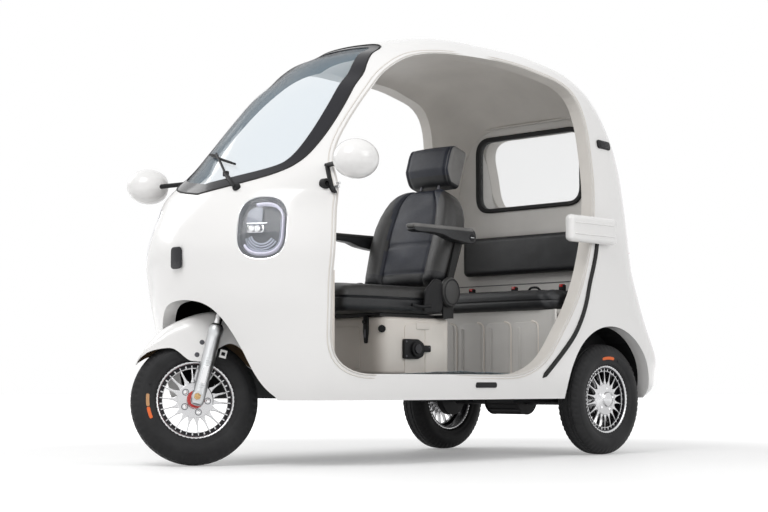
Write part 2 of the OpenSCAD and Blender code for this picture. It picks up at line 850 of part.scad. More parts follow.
// Steering: drawn upright with the wheel's centre ahead of the axis, then raked and turned.
// Half widths and radii of the tyre's section from the tread's middle to the bead.
TYRE_SECTION = [[0, 0], [26, -1.5], [41, -9], [50, -22], [56, -42], [53, -66], [46, -84]];
rim_half = 40;
bead_lift = 5;
bead = TYRE_SECTION[len(TYRE_SECTION) - 1];
side_scale = (tyre_d / 2 - rim_d / 2 - bead_lift) / -bead[1];
function tyre_point(p) = [p[0] * tyre_w / 112, tyre_d / 2 + p[1] * side_scale];
lean_turned = asin(sin(rake) * sin(lock_angle));
front_hub_z = max([for (p = TYRE_SECTION) tyre_point(p)[1] * cos(lean_turned) + tyre_point(p)[0] * sin(lean_turned)]);
// Place of the steering axis level with the hub, found back from the hub's place when turned.
hub_shift = [-fork_offset * sin(lock_angle), -fork_offset * cos(lock_angle) * cos(rake), fork_offset * cos(lock_angle) * sin(rake)];
steer_point = [0, rear_axle_y - wheelbase - hub_shift[1], front_hub_z - hub_shift[2]];
module steer_place() {
    translate(steer_point) rotate([-rake, 0, 0]) children();
}
module turned() {
    steer_place() rotate([0, 0, -lock_angle]) children();
}
module front_wheel_place() {
    turned() translate([0, -fork_offset, 0]) rotate([0, 90, 0]) children();
}
axle_d = 16;
module tyre() {
    color("black")
        rotate_extrude($fn = 96)
            polygon(concat([for (p = TYRE_SECTION) [tyre_point(p)[1], tyre_point(p)[0]]],
                [[rim_d / 2 + 1, rim_half - 4 + gap], [rim_d / 2 - 6, rim_half - 10], [rim_d / 2 - 6, -rim_half + 10], [rim_d / 2 + 1, -rim_half + 4 - gap]],
                [for (i = [len(TYRE_SECTION) - 1:-1:1]) [tyre_point(TYRE_SECTION[i])[1], -tyre_point(TYRE_SECTION[i])[0]]]));
}
module rim(bore) {
    color("silver") {
        rotate_extrude($fn = 96)
            polygon([[rim_d / 2 - 6 - rim_wall, -rim_half], [rim_d / 2, -rim_half], [rim_d / 2, -rim_half + 4 - 2 * gap],
                [rim_d / 2 - 6 - gap, -rim_half + 9], [rim_d / 2 - 6 - gap, rim_half - 9],
                [rim_d / 2, rim_half - 4 + 2 * gap], [rim_d / 2, rim_half], [rim_d / 2 - 6 - rim_wall, rim_half]]);
        difference() {
            translate([0, 0, -rim_half + 10]) cylinder(h = 2 * rim_half - 20, d = hub_d);
            translate([0, 0, -rim_half]) cylinder(h = 2 * rim_half, d = bore);
        }
        for (i = [0:spokes - 1])
            rotate([0, 0, 360 * i / spokes])
                translate([hub_d / 2 - 4, -2.5, rim_half - 28]) cube([rim_d / 2 - 6 - rim_wall - hub_d / 2 + 7, 5, 14]);
    }
}
module front_tyre() {
    front_wheel_place() tyre();
}
module front_rim() {
    front_wheel_place() rim(axle_d + 2 * gap);
}
head_d = 60;
head_l = 150;
guard_r = tyre_d / 2 + guard_gap;
clamp_gap = 84;
clamp_z = guard_r + clamp_gap;
clamp_h = 34;
head_gap = 9;
head_z0 = clamp_z + clamp_h + head_gap;
column_top = 800;
stanchion_l = 80;
slider_top = clamp_z - stanchion_l;
collar_l = 30;
stanchion_d = 32;
module fork() {
    color("silver")
        turned() {
            for (side = [-1, 1])
                translate([side * leg_span / 2, -fork_offset, 0]) {
                    translate([0, 0, -26]) cylinder(h = slider_top + 26, d = leg_d);
                    translate([0, 0, slider_top - collar_l]) cylinder(h = collar_l, d = leg_d + 4);
                    translate([0, 0, slider_top]) cylinder(h = clamp_z - slider_top + clamp_h, d = stanchion_d);
                }
            translate([-leg_span / 2 - 24, -fork_offset - 26, clamp_z]) cube([leg_span + 48, fork_offset + 52, clamp_h]);
            translate([0, 0, clamp_z + 1]) cylinder(h = column_top - clamp_z - 1, d = column_d);
            translate([0, -fork_offset, 0]) rotate([0, 90, 0]) cylinder(h = leg_span + leg_d + 20, d = axle_d, center = true);
        }
}
module handlebar() {
    color("black")
        turned()
            translate([0, 0, column_top + gap]) {
                translate([0, 0, 0]) cylinder(h = 30, d = 46);
                for (side = [-1, 1]) {
                    translate([0, 0, 18]) rotate([0, side * 90, 0]) cylinder(h = 110, d = 22);
                    hull() {
                        translate([side * 110, 0, 18]) sphere(d = 22, $fn = 10);
                        translate([side * 168, 72, 24]) sphere(d = 22, $fn = 10);
                    }
                    hull() {
                        translate([side * 168, 72, 24]) sphere(d = 30, $fn = 10);
                        translate([side * 256, 122, 24]) sphere(d = 30, $fn = 10);
                    }
                }
            }
}
// Mudguard, by the angle about the hub from the level line ahead: the crest's and the skirt's radius beyond the rim's.
GUARD_ROWS = [[19, -16, -21], [25, -11, -24], [31, -6, -28], [40, 5, -45], [50, 17, -64], [55, 23, -84], [60, 29, -108],
    [66, 36, -125], [74, 49, -130], [82, 63, -130], [88, 72, -118], [94, 73, -96], [100, 70, -62], [106, 63, -32],
    [113, 47, -22], [124, 22, -21], [130, 8, -18], [136, -6, -15]];
guard_t = 4;
guard_half = 65.5;
// Tabs that reach from the mudguard's sides to the fork's legs.
guard_tab_l = leg_span / 2 - leg_d / 2 - gap - guard_half + guard_t / 2;
guard_tab_x = guard_half - guard_t / 2 + guard_tab_l / 2;
guard_tab_z = 190;
function guard_point(a, r) = [-fork_offset - (guard_r + r) * cos(a), (guard_r + r) * sin(a)];
module guard_slice(x, w, depth) {
    translate([x, 0, 0])
        rotate([90, 0, 90])
            linear_extrude(w)
                polygon(concat([for (g = GUARD_ROWS) guard_point(g[0], g[1])],
                    [for (i = [len(GUARD_ROWS) - 1:-1:0]) guard_point(GUARD_ROWS[i][0], depth > 0 ? GUARD_ROWS[i][1] - depth : GUARD_ROWS[i][2])]));
}
module front_guard() {
    color("white")
        turned() {
            intersection() {
                union() {
                    guard_slice(-guard_half, 2 * guard_half, guard_t);
                    guard_slice(-guard_half, guard_t, 0);
                    guard_slice(guard_half - guard_t, guard_t, 0);
                }
                linear_extrude(2 * guard_r)
                    polygon([[-20, -guard_r - 20], [20, -guard_r - 20], [58, -guard_r + 18], [guard_half, -guard_r + 50],
                        [guard_half, guard_r], [-guard_half, guard_r], [-guard_half, -guard_r + 50], [-58, -guard_r + 18]]);
            }
            for (side = [-1, 1])
                translate([side * guard_tab_x, -fork_offset, guard_tab_z])
                    cube([guard_tab_l, 12, 20], center = true);
        }
}

// Rear axle, driven by a motor on the middle of its tube.
module rear_wheel_place(side) {
    translate([side * track / 2, rear_axle_y, tyre_d / 2]) rotate([0, side * 90, 0]) children();
}
module rear_rim_left() {
    rear_wheel_place(1) rim(axle_rear_d + 2 * gap);
}
module rear_tyre_left() {
    rear_wheel_place(1) tyre();
}
module rear_rim_right() {
    rear_wheel_place(-1) rim(axle_rear_d + 2 * gap);
}
module rear_tyre_right() {
    rear_wheel_place(-1) tyre();
}
axle_rear_d = 24;
drum_d = 150;
drum_l = 34;
module rear_axle() {
    color("black") {
        translate([0, rear_axle_y, tyre_d / 2]) rotate([0, 90, 0]) cylinder(h = track - 190, d = 52, center = true);
        translate([0, rear_axle_y, tyre_d / 2]) rotate([0, 90, 0]) cylinder(h = track + 60, d = axle_rear_d, center = true);
        translate([-40, rear_axle_y, tyre_d / 2]) rotate([0, 90, 0]) cylinder(h = 190, d = 130, center = true);
        for (side = [-1, 1]) {
            translate([side * (track / 2 - rim_half + 10 - 1.5 - drum_l / 2), rear_axle_y, tyre_d / 2])
                rotate([0, 90, 0]) cylinder(h = drum_l, d = drum_d, center = true);
            translate([side * rail_x - 14, 440, tyre_d / 2 - 14]) cube([28, rear_axle_y - 440, 28]);
            translate([side * rail_x - 14, 440, tyre_d / 2 - 14]) cube([28, 50, rail_top - rail_h - tyre_d / 2 + 14]);
        }
    }
}
spring_d = 56;
module rear_shocks() {
    color("silver")
        for (side = [-1, 1])
            translate([side * rail_x, rear_axle_y, 0])
                difference() {
                    translate([0, 0, tyre_d / 2]) cylinder(h = rear_rail_top - rail_h - tyre_d / 2, d = spring_d);
                    translate([0, 0, tyre_d / 2]) rotate([0, 90, 0]) cylinder(h = 200, d = 52, center = true);
                    translate([-14, -200, tyre_d / 2 - 14]) cube([28, 200, 28]);
                }
}

front_shell();
roof_shell();
rear_shell();
side_sills();
floor_pan();
chassis_frame();
wheel_well();
wheel_houses();
tunnel_cover();
knee_panel();
dash_shelf();
column_cover();
rear_bulkhead();
windscreen();
screen_surround();
rear_window();
rear_window_seal();
headlamps();
tail_lamps();
mirrors();
mirror_brackets();
wiper();
latch_covers();
quarter_trims();
seat_box();
battery();
seat_base();
seat_cushion();
recliner_covers();
back_frame();
seat_back();
headrest();
armrest_left();
armrest_right();
bench_box();
bench_cushion();
bench_back();
fork();
handlebar();
front_guard();
front_rim();
front_tyre();
rear_axle();
rear_shocks();
rear_rim_left();
rear_tyre_left();
rear_rim_right();
rear_tyre_right();
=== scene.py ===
# Looks of the electric cabin tricycle: finishes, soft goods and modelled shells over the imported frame.
import json
import math

import bmesh
import bpy
import numpy as np
from mathutils import Euler, Matrix, Vector

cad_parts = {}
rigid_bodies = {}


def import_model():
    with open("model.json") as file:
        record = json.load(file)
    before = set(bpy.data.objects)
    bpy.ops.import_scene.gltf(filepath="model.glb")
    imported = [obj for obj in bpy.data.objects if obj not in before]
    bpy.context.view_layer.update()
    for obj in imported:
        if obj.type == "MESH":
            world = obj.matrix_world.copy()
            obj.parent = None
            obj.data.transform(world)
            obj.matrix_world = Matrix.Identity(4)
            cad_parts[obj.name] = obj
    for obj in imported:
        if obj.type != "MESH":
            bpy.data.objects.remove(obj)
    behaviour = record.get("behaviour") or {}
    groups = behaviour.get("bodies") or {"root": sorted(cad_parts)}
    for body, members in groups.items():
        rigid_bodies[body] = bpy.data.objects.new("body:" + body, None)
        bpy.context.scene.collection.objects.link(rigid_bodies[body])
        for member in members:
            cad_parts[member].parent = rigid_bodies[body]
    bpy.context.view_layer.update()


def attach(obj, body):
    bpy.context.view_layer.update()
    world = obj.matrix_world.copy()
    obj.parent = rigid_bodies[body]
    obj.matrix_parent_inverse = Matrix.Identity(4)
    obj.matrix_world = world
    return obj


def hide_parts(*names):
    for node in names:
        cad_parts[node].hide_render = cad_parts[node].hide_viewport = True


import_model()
MM = 0.001

# Camera, worked out from the tyres and rims of the photograph
CAMERA_PLACE = (4.722, -4.800, 0.2957)
CAMERA_YAW = 44.87
CAMERA_UP = 4.42
CAMERA_LENS = 77.35

# Driving sizes, the same as in the part's source, in millimetres
WHEELBASE, TRACK, REAR_AXLE_Y = 1796, 893, 775
LOCK_ANGLE, RAKE, FORK_OFFSET = 34.5, 18, 22
TYRE_D = 460
WALL, FLOOR_Z, SCREEN_BORDER = 55, 330, 42
BODY_HALF = 525

# Body sections: height, nose, tail, half width, turn of the wall in degrees
SECTIONS = [
    (235, -995, 1190, 500, 0), (280, -1010, 1246, 512, 0), (330, -1023, 1250, 520, 0),
    (400, -1040, 1250, 525, 0), (460, -1055, 1226, 525, 0), (530, -1073, 1186, 525, 0),
    (600, -1090, 1152, 525, 0), (680, -1104, 1118, 525, 0), (760, -1115, 1086, 525, 0),
    (830, -1102, 1074, 522, 0), (910, -1070, 1066, 518, 0), (1000, -1014, 1060, 510, 0),
    (1100, -926, 1052, 500, 0), (1200, -851, 1042, 488, 3), (1310, -761, 1016, 473, 7),
    (1410, -664, 968, 460, 14), (1475, -580, 922, 450, 22), (1530, -504, 872, 436, 32),
    (1575, -429, 822, 412, 43), (1610, -338, 772, 384, 54), (1640, -268, 712, 344, 64),
    (1670, -165, 620, 292, 75), (1690, -72, 520, 222, 82), (1700, 25, 420, 140, 87)]
NOSE_LEN = [(235, 480), (900, 480), (1000, 462), (1100, 560), (1200, 636), (1310, 680), (1475, 676), (1575, 590), (1610, 550),
            (1640, 433), (1700, 180)]
NOSE_POW = [(235, 2.0), (900, 2.0), (1000, 2.08), (1100, 2.0), (1475, 2.0), (1575, 2.15), (1640, 2.27), (1700, 2.4)]
TAIL_LEN = [(235, 320), (1640, 320), (1700, 180)]
TAIL_POW = [(235, 3.2), (1640, 3.2), (1700, 2.4)]
CROWN = (0, 222, 1705)
ROW_STEPS = 5
CROWN_STEPS = 5
RING_COUNT = 176
DOOR_CORNERS = [(-700, 330), (-786, 396), (-806, 720), (-764, 985), (-690, 1147), (-562, 1301), (-437, 1433), (-300, 1545),
                (-150, 1592), (290, 1596), (598, 1540), (676, 1400), (678, 1100), (634, 890), (534, 637), (330, 386), (190, 330)]
SCREEN_SIDE = [(0, 985), (127, 1003), (232, 1028), (293, 1058), (318, 1104), (324, 1182), (316, 1275), (299, 1385), (262, 1515),
               (214, 1600), (170, 1636), (0, 1640)]
SCREEN_REAR_Y = -225
ARCH_FRONT = [(315, 0), (315, 232), (280, 270), (250, 334), (225, 420), (190, 500), (150, 555), (100, 585), (40, 595)]
WELL_BACK_Y = -725
ARCH_R, ARCH_Y, ARCH_Z = 284, 765, 250
FRONT_SPLIT_Y, REAR_SPLIT_Y, SILL_FRONT_Y, SILL_REAR_Y = -330, 600, -690, 475
LAMP_X, LAMP_Z, LAMP_W, LAMP_H, LAMP_YAW, LAMP_PITCH = 322, 850, 182, 240, 36, 14
REAR_GLASS = (606, 1078, 1412, 75)
BULKHEAD_Y, BULKHEAD_T = 862, 30


def spline_rows(rows, steps):
    """Catmull-Rom through the rows of a table, with a number of steps between two rows."""
    p = np.array(rows, float)
    ends = np.vstack([2 * p[0] - p[1], p, 2 * p[-1] - p[-2]])
    out = []
    for i in range(len(p) - 1):
        a, b, c, d = ends[i:i + 4]
        for t in np.linspace(0, 1, steps, endpoint=False):
            out.append(0.5 * (2 * b + (c - a) * t + (2 * a - 5 * b + 4 * c - d) * t ** 2 + (3 * b - a - 3 * c + d) * t ** 3))
    out.append(p[-1])
    return np.array(out)


def lookup(z, table):
    return np.interp(z, [r[0] for r in table], [r[1] for r in table])


def full_rows():
    rows = [r + (lookup(r[0], NOSE_LEN), lookup(r[0], NOSE_POW), lookup(r[0], TAIL_LEN), lookup(r[0], TAIL_POW))
            for r in SECTIONS]
    return spline_rows(rows, ROW_STEPS)


ROWS = full_rows()


def column(z, k):
    return np.interp(z, ROWS[:, 0], ROWS[:, k])


def skin_front(x, z):
    """Place of the nose's skin at a distance from the centre line and a height."""
    w, nl, n = column(z, 3), column(z, 5), column(z, 6)
    u = np.minimum(1, np.abs(x) / w)
    return column(z, 1) + nl * (1 - (1 - u ** n) ** (1 / n))


def skin_rear(x, z):
    w, tl, n = column(z, 3), column(z, 7), column(z, 8)
    u = np.minimum(1, np.abs(x) / w)
    return column(z, 2) - tl * (1 - (1 - u ** n) ** (1 / n))


def skin_x(y, z):
    w = column(z, 3)
    a = np.clip((column(z, 1) + column(z, 5) - y) / column(z, 5), 0, 1)
    b = np.clip((y - column(z, 2) + column(z, 7)) / column(z, 7), 0, 1)
    n, m = column(z, 6), column(z, 8)
    return w * (1 - a ** n) ** (1 / n) * (1 - b ** m) ** (1 / m)


def new_object(name, verts, faces, smooth=True):
    mesh = bpy.data.meshes.new(name)
    mesh.from_pydata([tuple(v) for v in verts], [], [tuple(int(i) for i in f) for f in faces])
    mesh.validate()
    mesh.update()
    if smooth:
        mesh.shade_smooth()
    obj = bpy.data.objects.new(name, mesh)
    bpy.context.scene.collection.objects.link(obj)
    return obj


def ring_points(row, inset):
    z, f, r, w, turn, nl, n, tl, m = row
    side = inset * math.cos(math.radians(turn))
    w, f, r = w - side, f + side, r - side
    nl, tl = min(nl - side, (r - f) / 2), min(tl - side, (r - f) / 2)
    up = z - inset * math.sin(math.radians(turn))
    a = np.linspace(0, 2 * np.pi, RING_COUNT, endpoint=False)
    c, s = np.cos(a), np.sin(a)
    p = np.where(s < 0, n, m)
    x = w * np.sign(c) * np.abs(c) ** (2 / p)
    y = np.where(s < 0, f + nl - nl * np.abs(s) ** (2 / p), r - tl + tl * np.abs(s) ** (2 / p))
    return np.stack([x, y, np.full_like(x, up)], 1)


def body_form(name, inset=0.0, low=0.0):
    """The whole body as one closed smooth form, drawn in by a distance."""
    rings = [ring_points(row, inset) for row in ROWS]
    if low:
        rings.insert(0, rings[0] - np.array([0, 0, low]))
    top, crown = rings[-1], np.array(CROWN, float) - np.array([0, 0, inset])
    for k in range(1, CROWN_STEPS + 1):
        t = k / (CROWN_STEPS + 1)
        ring = top * (1 - t) + crown * t
        ring[:, 2] = top[0, 2] + (crown[2] - top[0, 2]) * (1 - (1 - t) ** 2)
        rings.append(ring)
    verts = np.vstack(rings + [crown[None]]) * MM
    n, count = RING_COUNT, len(rings)
    faces = [(k * n + i, k * n + (i + 1) % n, (k + 1) * n + (i + 1) % n, (k + 1) * n + i)
             for k in range(count - 1) for i in range(n)]
    faces += [((count - 1) * n + i, (count - 1) * n + (i + 1) % n, count * n) for i in range(n)]
    faces.append(tuple(range(n - 1, -1, -1)))
    return new_object(name, verts, faces)


def fillet(corners, radius, steps=6):
    """Rounds the corners of a closed outline with short curves."""
    pts, out = [np.array(c, float) for c in corners], []
    for i, p in enumerate(pts):
        a, b = pts[i - 1], pts[(i + 1) % len(pts)]
        r = radius[i] if isinstance(radius, (list, tuple)) else radius
        da, db = np.linalg.norm(a - p), np.linalg.norm(b - p)
        s = p + (a - p) / da * min(r, da * 0.49)
        e = p + (b - p) / db * min(r, db * 0.49)
        for t in np.linspace(0, 1, steps):
            out.append((1 - t) ** 2 * s + 2 * t * (1 - t) * p + t ** 2 * e)
    return np.array(out)


def prism(name, outline, place, lo, hi):
    """A closed outline swept between two values; place turns (u, v, w) into a point in millimetres."""
    n = len(outline)
    verts = [place(u, v, lo) for u, v in outline] + [place(u, v, hi) for u, v in outline]
    faces = [(i, (i + 1) % n, n + (i + 1) % n, n + i) for i in range(n)]
    faces += [tuple(range(n - 1, -1, -1)), tuple(range(n, 2 * n))]
    obj = new_object(name, np.array(verts) * MM, faces, smooth=False)
    fix_normals(obj)
    return obj


def fix_normals(obj):
    bm = bmesh.new()
    bm.from_mesh(obj.data)
    bmesh.ops.recalc_face_normals(bm, faces=bm.faces)
    bm.to_mesh(obj.data)
    bm.free()


def across(name, outline, lo=-900, hi=900):
    return prism(name, outline, lambda u, v, w: (w, u, v), lo, hi)


def along(name, outline, lo, hi):
    return prism(name, outline, lambda u, v, w: (u, w, v), lo, hi)


def box_object(name, lo, hi):
    verts = [(x, y, z) for x in (lo[0], hi[0]) for y in (lo[1], hi[1]) for z in (lo[2], hi[2])]
    faces = [(0, 1, 3, 2), (4, 6, 7, 5), (0, 4, 5, 1), (2, 3, 7, 6), (0, 2, 6, 4), (1, 5, 7, 3)]
    obj = new_object(name, np.array(verts, float) * MM, faces, smooth=False)
    fix_normals(obj)
    return obj


def apply_modifiers(obj):
    depsgraph = bpy.context.evaluated_depsgraph_get()
    mesh = bpy.data.meshes.new_from_object(obj.evaluated_get(depsgraph), preserve_all_data_layers=True, depsgraph=depsgraph)
    obj.modifiers.clear()
    obj.data = mesh
    return obj


def boolean(obj, cutter, operation="DIFFERENCE", keep=False):
    mod = obj.modifiers.new("cut", "BOOLEAN")
    mod.operation, mod.solver, mod.object = operation, "EXACT", cutter
    mod.material_mode = "TRANSFER"
    apply_modifiers(obj)
    if not keep:
        remove(cutter)
    return obj


def remove(obj):
    mesh = obj.data
    bpy.data.objects.remove(obj)
    bpy.data.meshes.remove(mesh)


def copy_object(obj, name):
    twin = bpy.data.objects.new(name, obj.data.copy())
    bpy.context.scene.collection.objects.link(twin)
    return twin


def finish_edges(obj, angle=30):
    obj.data.shade_smooth()
    obj.data.set_sharp_from_angle(angle=math.radians(angle))
    return obj


# Materials
DARK_BELOW, DARK_SPECULAR = 0.05, 0.22


def node_material(name, color, rough, metal=0.0):
    mat = bpy.data.materials.new(name)
    mat.use_nodes = True
    shader = mat.node_tree.nodes["Principled BSDF"]
    shader.inputs["Base Color"].default_value = (*color, 1)
    shader.inputs["Roughness"].default_value = rough
    if max(color) < DARK_BELOW:
        shader.inputs["Specular IOR Level"].default_value = DARK_SPECULAR
    shader.inputs["Metallic"].default_value = metal
    return mat, shader


def add_node(mat, kind, **inputs):
    node = mat.node_tree.nodes.new(kind)
    for key, value in inputs.items():
        node.inputs[key].default_value = value
    return node


def object_coords(mat):
    return add_node(mat, "ShaderNodeTexCoord").outputs["Object"]


def noise(mat, scale, detail=3.0, rough=0.5, coords=None):
    node = add_node(mat, "ShaderNodeTexNoise", Scale=scale, Detail=detail, Roughness=rough)
    mat.node_tree.links.new(coords or object_coords(mat), node.inputs["Vector"])
    return node.outputs["Fac"]


def ramp(mat, fac, stops):
    node = add_node(mat, "ShaderNodeValToRGB")
    while len(node.color_ramp.elements) < len(stops):
        node.color_ramp.elements.new(0.5)
    for element, (at, color) in zip(node.color_ramp.elements, stops):
        element.position = at
        element.color = (*color, 1) if len(color) == 3 else color
    mat.node_tree.links.new(fac, node.inputs["Fac"])
    return node.outputs["Color"]


def bump(mat, shader, height, strength, distance, below=None):
    node = add_node(mat, "ShaderNodeBump", Strength=strength, Distance=distance)
    mat.node_tree.links.new(height, node.inputs["Height"])
    if below is not None:
        mat.node_tree.links.new(below, node.inputs["Normal"])
    mat.node_tree.links.new(node.outputs["Normal"], shader.inputs["Normal"])
    return node.outputs["Normal"]


def rough_range(mat, shader, fac, low, high):
    node = add_node(mat, "ShaderNodeMapRange")
    node.inputs["To Min"].default_value = low
    node.inputs["To Max"].default_value = high
    mat.node_tree.links.new(fac, node.inputs["Value"])
    mat.node_tree.links.new(node.outputs["Result"], shader.inputs["Roughness"])


def gloss_paint(name, color, wave=0.02):
    mat, shader = node_material(name, color, 0.22)
    shader.inputs["Coat Weight"].default_value = 0.6 if max(color) > DARK_BELOW else 0.25
    shader.inputs["Coat Roughness"].default_value = 0.06
    tone = noise(mat, 2.2, 2.0)
    shade = tuple(c * 0.975 for c in color)
    mat.node_tree.links.new(ramp(mat, tone, [(0.35, shade), (0.65, color)]), shader.inputs["Base Color"])
    rough_range(mat, shader, noise(mat, 9.0), 0.18, 0.28)
    bump(mat, shader, noise(mat, 5.0, 2.0), wave, 0.01)
    return mat


def moulded(name, color, rough=0.5, grain=900.0, strength=0.12):
    mat, shader = node_material(name, color, rough)
    shade = tuple(c * 0.9 for c in color)
    mat.node_tree.links.new(ramp(mat, noise(mat, 6.0), [(0.3, shade), (0.7, color)]), shader.inputs["Base Color"])
    rough_range(mat, shader, noise(mat, 40.0), rough - 0.07, rough + 0.08)
    bump(mat, shader, noise(mat, grain, 2.0), strength, 0.0004)
    return mat


def leather(name, color, rough=0.42):
    mat, shader = node_material(name, color, rough)
    coords = object_coords(mat)
    cells = add_node(mat, "ShaderNodeTexVoronoi", Scale=420.0)
    cells.feature = "DISTANCE_TO_EDGE"
    mat.node_tree.links.new(coords, cells.inputs["Vector"])
    pores = ramp(mat, cells.outputs["Distance"], [(0.0, (0, 0, 0)), (0.16, (1, 1, 1))])
    lift = bump(mat, shader, pores, 0.22, 0.0006)
    bump(mat, shader, noise(mat, 14.0, 4.0, 0.6, coords), 0.25, 0.004, below=lift)
    light = tuple(min(1, c * 1.7 + 0.006) for c in color)
    mat.node_tree.links.new(ramp(mat, noise(mat, 7.0, 4.0, 0.6, coords), [(0.35, color), (0.75, light)]), shader.inputs["Base Color"])
    rough_range(mat, shader, noise(mat, 60.0, 3.0, 0.5, coords), rough - 0.08, rough + 0.1)
    shader.inputs["Specular IOR Level"].default_value = 0.45
    return mat


def metal(name, color, rough=0.25, scale=120.0, strength=0.05):
    mat, shader = node_material(name, color, rough, 1.0)
    rough_range(mat, shader, noise(mat, scale, 4.0), rough * 0.75, rough * 1.35)
    bump(mat, shader, noise(mat, scale * 4, 2.0), strength, 0.0005)
    return mat


def glass(name, color, alpha, rough=0.02):
    mat, shader = node_material(name, color, rough)
    shader.inputs["Alpha"].default_value = alpha
    shader.inputs["Coat Weight"].default_value = 1.0
    shader.inputs["Coat Roughness"].default_value = 0.02
    bump(mat, shader, noise(mat, 3.0, 1.0), 0.02, 0.01)
    return mat


WHITE = gloss_paint("body_white", (0.90, 0.89, 0.88))
CREAM = moulded("liner_cream", (0.78, 0.745, 0.70), 0.5)
LINER_GREY = moulded("liner_grey", (0.68, 0.655, 0.62), 0.55)
BLACK = moulded("black_plastic", (0.011, 0.011, 0.012), 0.5)
GLOSS_BLACK = gloss_paint("gloss_black", (0.012, 0.012, 0.016))
RUBBER = moulded("rubber_black", (0.02, 0.02, 0.02), 0.62, 500.0, 0.2)
FRAME_BLACK = moulded("frame_black", (0.016, 0.016, 0.016), 0.45, 300.0, 0.2)
LEATHER = leather("leather_black", (0.008, 0.0085, 0.010))
LEATHER_BLUE = leather("leather_navy", (0.007, 0.0095, 0.019))
ALLOY = metal("alloy", (0.66, 0.66, 0.67), 0.24)
CHROME = metal("chrome", (0.9, 0.9, 0.91), 0.06, 60.0, 0.01)
SILVER = metal("silver_paint", (0.62, 0.63, 0.64), 0.32, 200.0, 0.12)
DARK_METAL = metal("dark_metal", (0.1, 0.1, 0.11), 0.4)
SCREEN_GLASS = glass("screen_glass", (0.42, 0.58, 0.70), 0.2)


# Stage: floor, light and camera
def build_stage():
    floor = new_object("floor", [(-30, -30, 0), (30, -30, 0), (30, 30, 0), (-30, 30, 0)], [(0, 1, 2, 3)], smooth=False)
    mat, shader = node_material("floor_pale", (0.8, 0.8, 0.8), 0.6)
    tree = mat.node_tree
    glow = add_node(mat, "ShaderNodeEmission")
    reach = add_node(mat, "ShaderNodeVectorMath")
    reach.operation = "LENGTH"
    rise = add_node(mat, "ShaderNodeMapRange")
    for key, value in (("From Min", 1.9), ("From Max", 4.2), ("To Min", 0.24), ("To Max", 0.85)):
        rise.inputs[key].default_value = value
    tree.links.new(object_coords(mat), reach.inputs[0])
    tree.links.new(reach.outputs["Value"], rise.inputs["Value"])
    tree.links.new(rise.outputs["Result"], glow.inputs["Strength"])
    both = add_node(mat, "ShaderNodeAddShader")
    path = add_node(mat, "ShaderNodeLightPath")
    mix = add_node(mat, "ShaderNodeMixShader")
    seen = add_node(mat, "ShaderNodeMath")
    seen.operation = "MAXIMUM"
    tree.links.new(path.outputs["Is Camera Ray"], seen.inputs[0])
    tree.links.new(path.outputs["Is Glossy Ray"], seen.inputs[1])
    through = add_node(mat, "ShaderNodeMath")
    through.operation = "MAXIMUM"
    tree.links.new(seen.outputs[0], through.inputs[0])
    tree.links.new(path.outputs["Is Transmission Ray"], through.inputs[1])
    tree.links.new(shader.outputs[0], both.inputs[0])
    tree.links.new(glow.outputs[0], both.inputs[1])
    tree.links.new(through.outputs[0], mix.inputs[0])
    tree.links.new(shader.outputs[0], mix.inputs[1])
    tree.links.new(both.outputs[0], mix.inputs[2])
    tree.links.new(mix.outputs[0], tree.nodes["Material Output"].inputs["Surface"])
    floor.data.materials.append(mat)

    world = bpy.data.worlds.new("studio")
    world.use_nodes = True
    nodes, links = world.node_tree.nodes, world.node_tree.links
    back = nodes["Background"]
    back.inputs["Color"].default_value = (1, 1, 1, 1)
    path = nodes.new("ShaderNodeLightPath")
    seen = nodes.new("ShaderNodeMath")
    seen.operation = "MAXIMUM"
    also = nodes.new("ShaderNodeMath")
    also.operation = "MAXIMUM"
    level = nodes.new("ShaderNodeMapRange")
    level.inputs["To Min"].default_value = 0.5
    level.inputs["To Max"].default_value = 1.0
    links.new(path.outputs["Is Camera Ray"], seen.inputs[0])
    links.new(path.outputs["Is Transmission Ray"], seen.inputs[1])
    links.new(seen.outputs[0], also.inputs[0])
    links.new(path.outputs["Is Glossy Ray"], also.inputs[1])
    links.new(also.outputs[0], level.inputs["Value"])
    links.new(level.outputs["Result"], back.inputs["Strength"])
    bpy.context.scene.world = world

    lamps = [("key_softbox", (1.2, -3.6, 4.2), (0.0, 0.0, 0.9), 2.6, 104),
             ("side_softbox", (4.6, 0.6, 2.6), (0.3, 0.1, 0.7), 2.4, 42),
             ("far_softbox", (-4.0, -1.5, 3.2), (0.0, 0.0, 0.8), 2.2, 40)]
    for name, place, aim, size, power in lamps:
        lamp = bpy.data.lights.new(name, "AREA")
        lamp.shape, lamp.size, lamp.energy = "SQUARE", size, power
        obj = bpy.data.objects.new(name, lamp)
        obj.location = place
        obj.rotation_euler = (Vector(aim) - Vector(place)).to_track_quat("-Z", "Y").to_euler()
        bpy.context.scene.collection.objects.link(obj)

    data = bpy.data.cameras.new("camera")
    data.lens, data.sensor_width = CAMERA_LENS, 36
    data.clip_end = 200
    camera = bpy.data.objects.new("camera", data)
    camera.location = CAMERA_PLACE
    camera.rotation_euler = Euler((math.radians(90 + CAMERA_UP), 0, math.radians(CAMERA_YAW)))
    bpy.context.scene.collection.objects.link(camera)
    bpy.context.scene.camera = camera
    bpy.context.scene.view_settings.view_transform = "Standard"


build_stage()


# Body shells
def door_outline():
    radius = [70, 80] + [110] * (len(DOOR_CORNERS) - 4) + [90, 70]
    return fillet(DOOR_CORNERS, radius)


def mirrored(side_points):
    """A closed outline from the points on one side, the first and last of which lie on the centre line."""
    return list(side_points) + [(-x, z) for x, z in list(side_points)[-2:0:-1]]


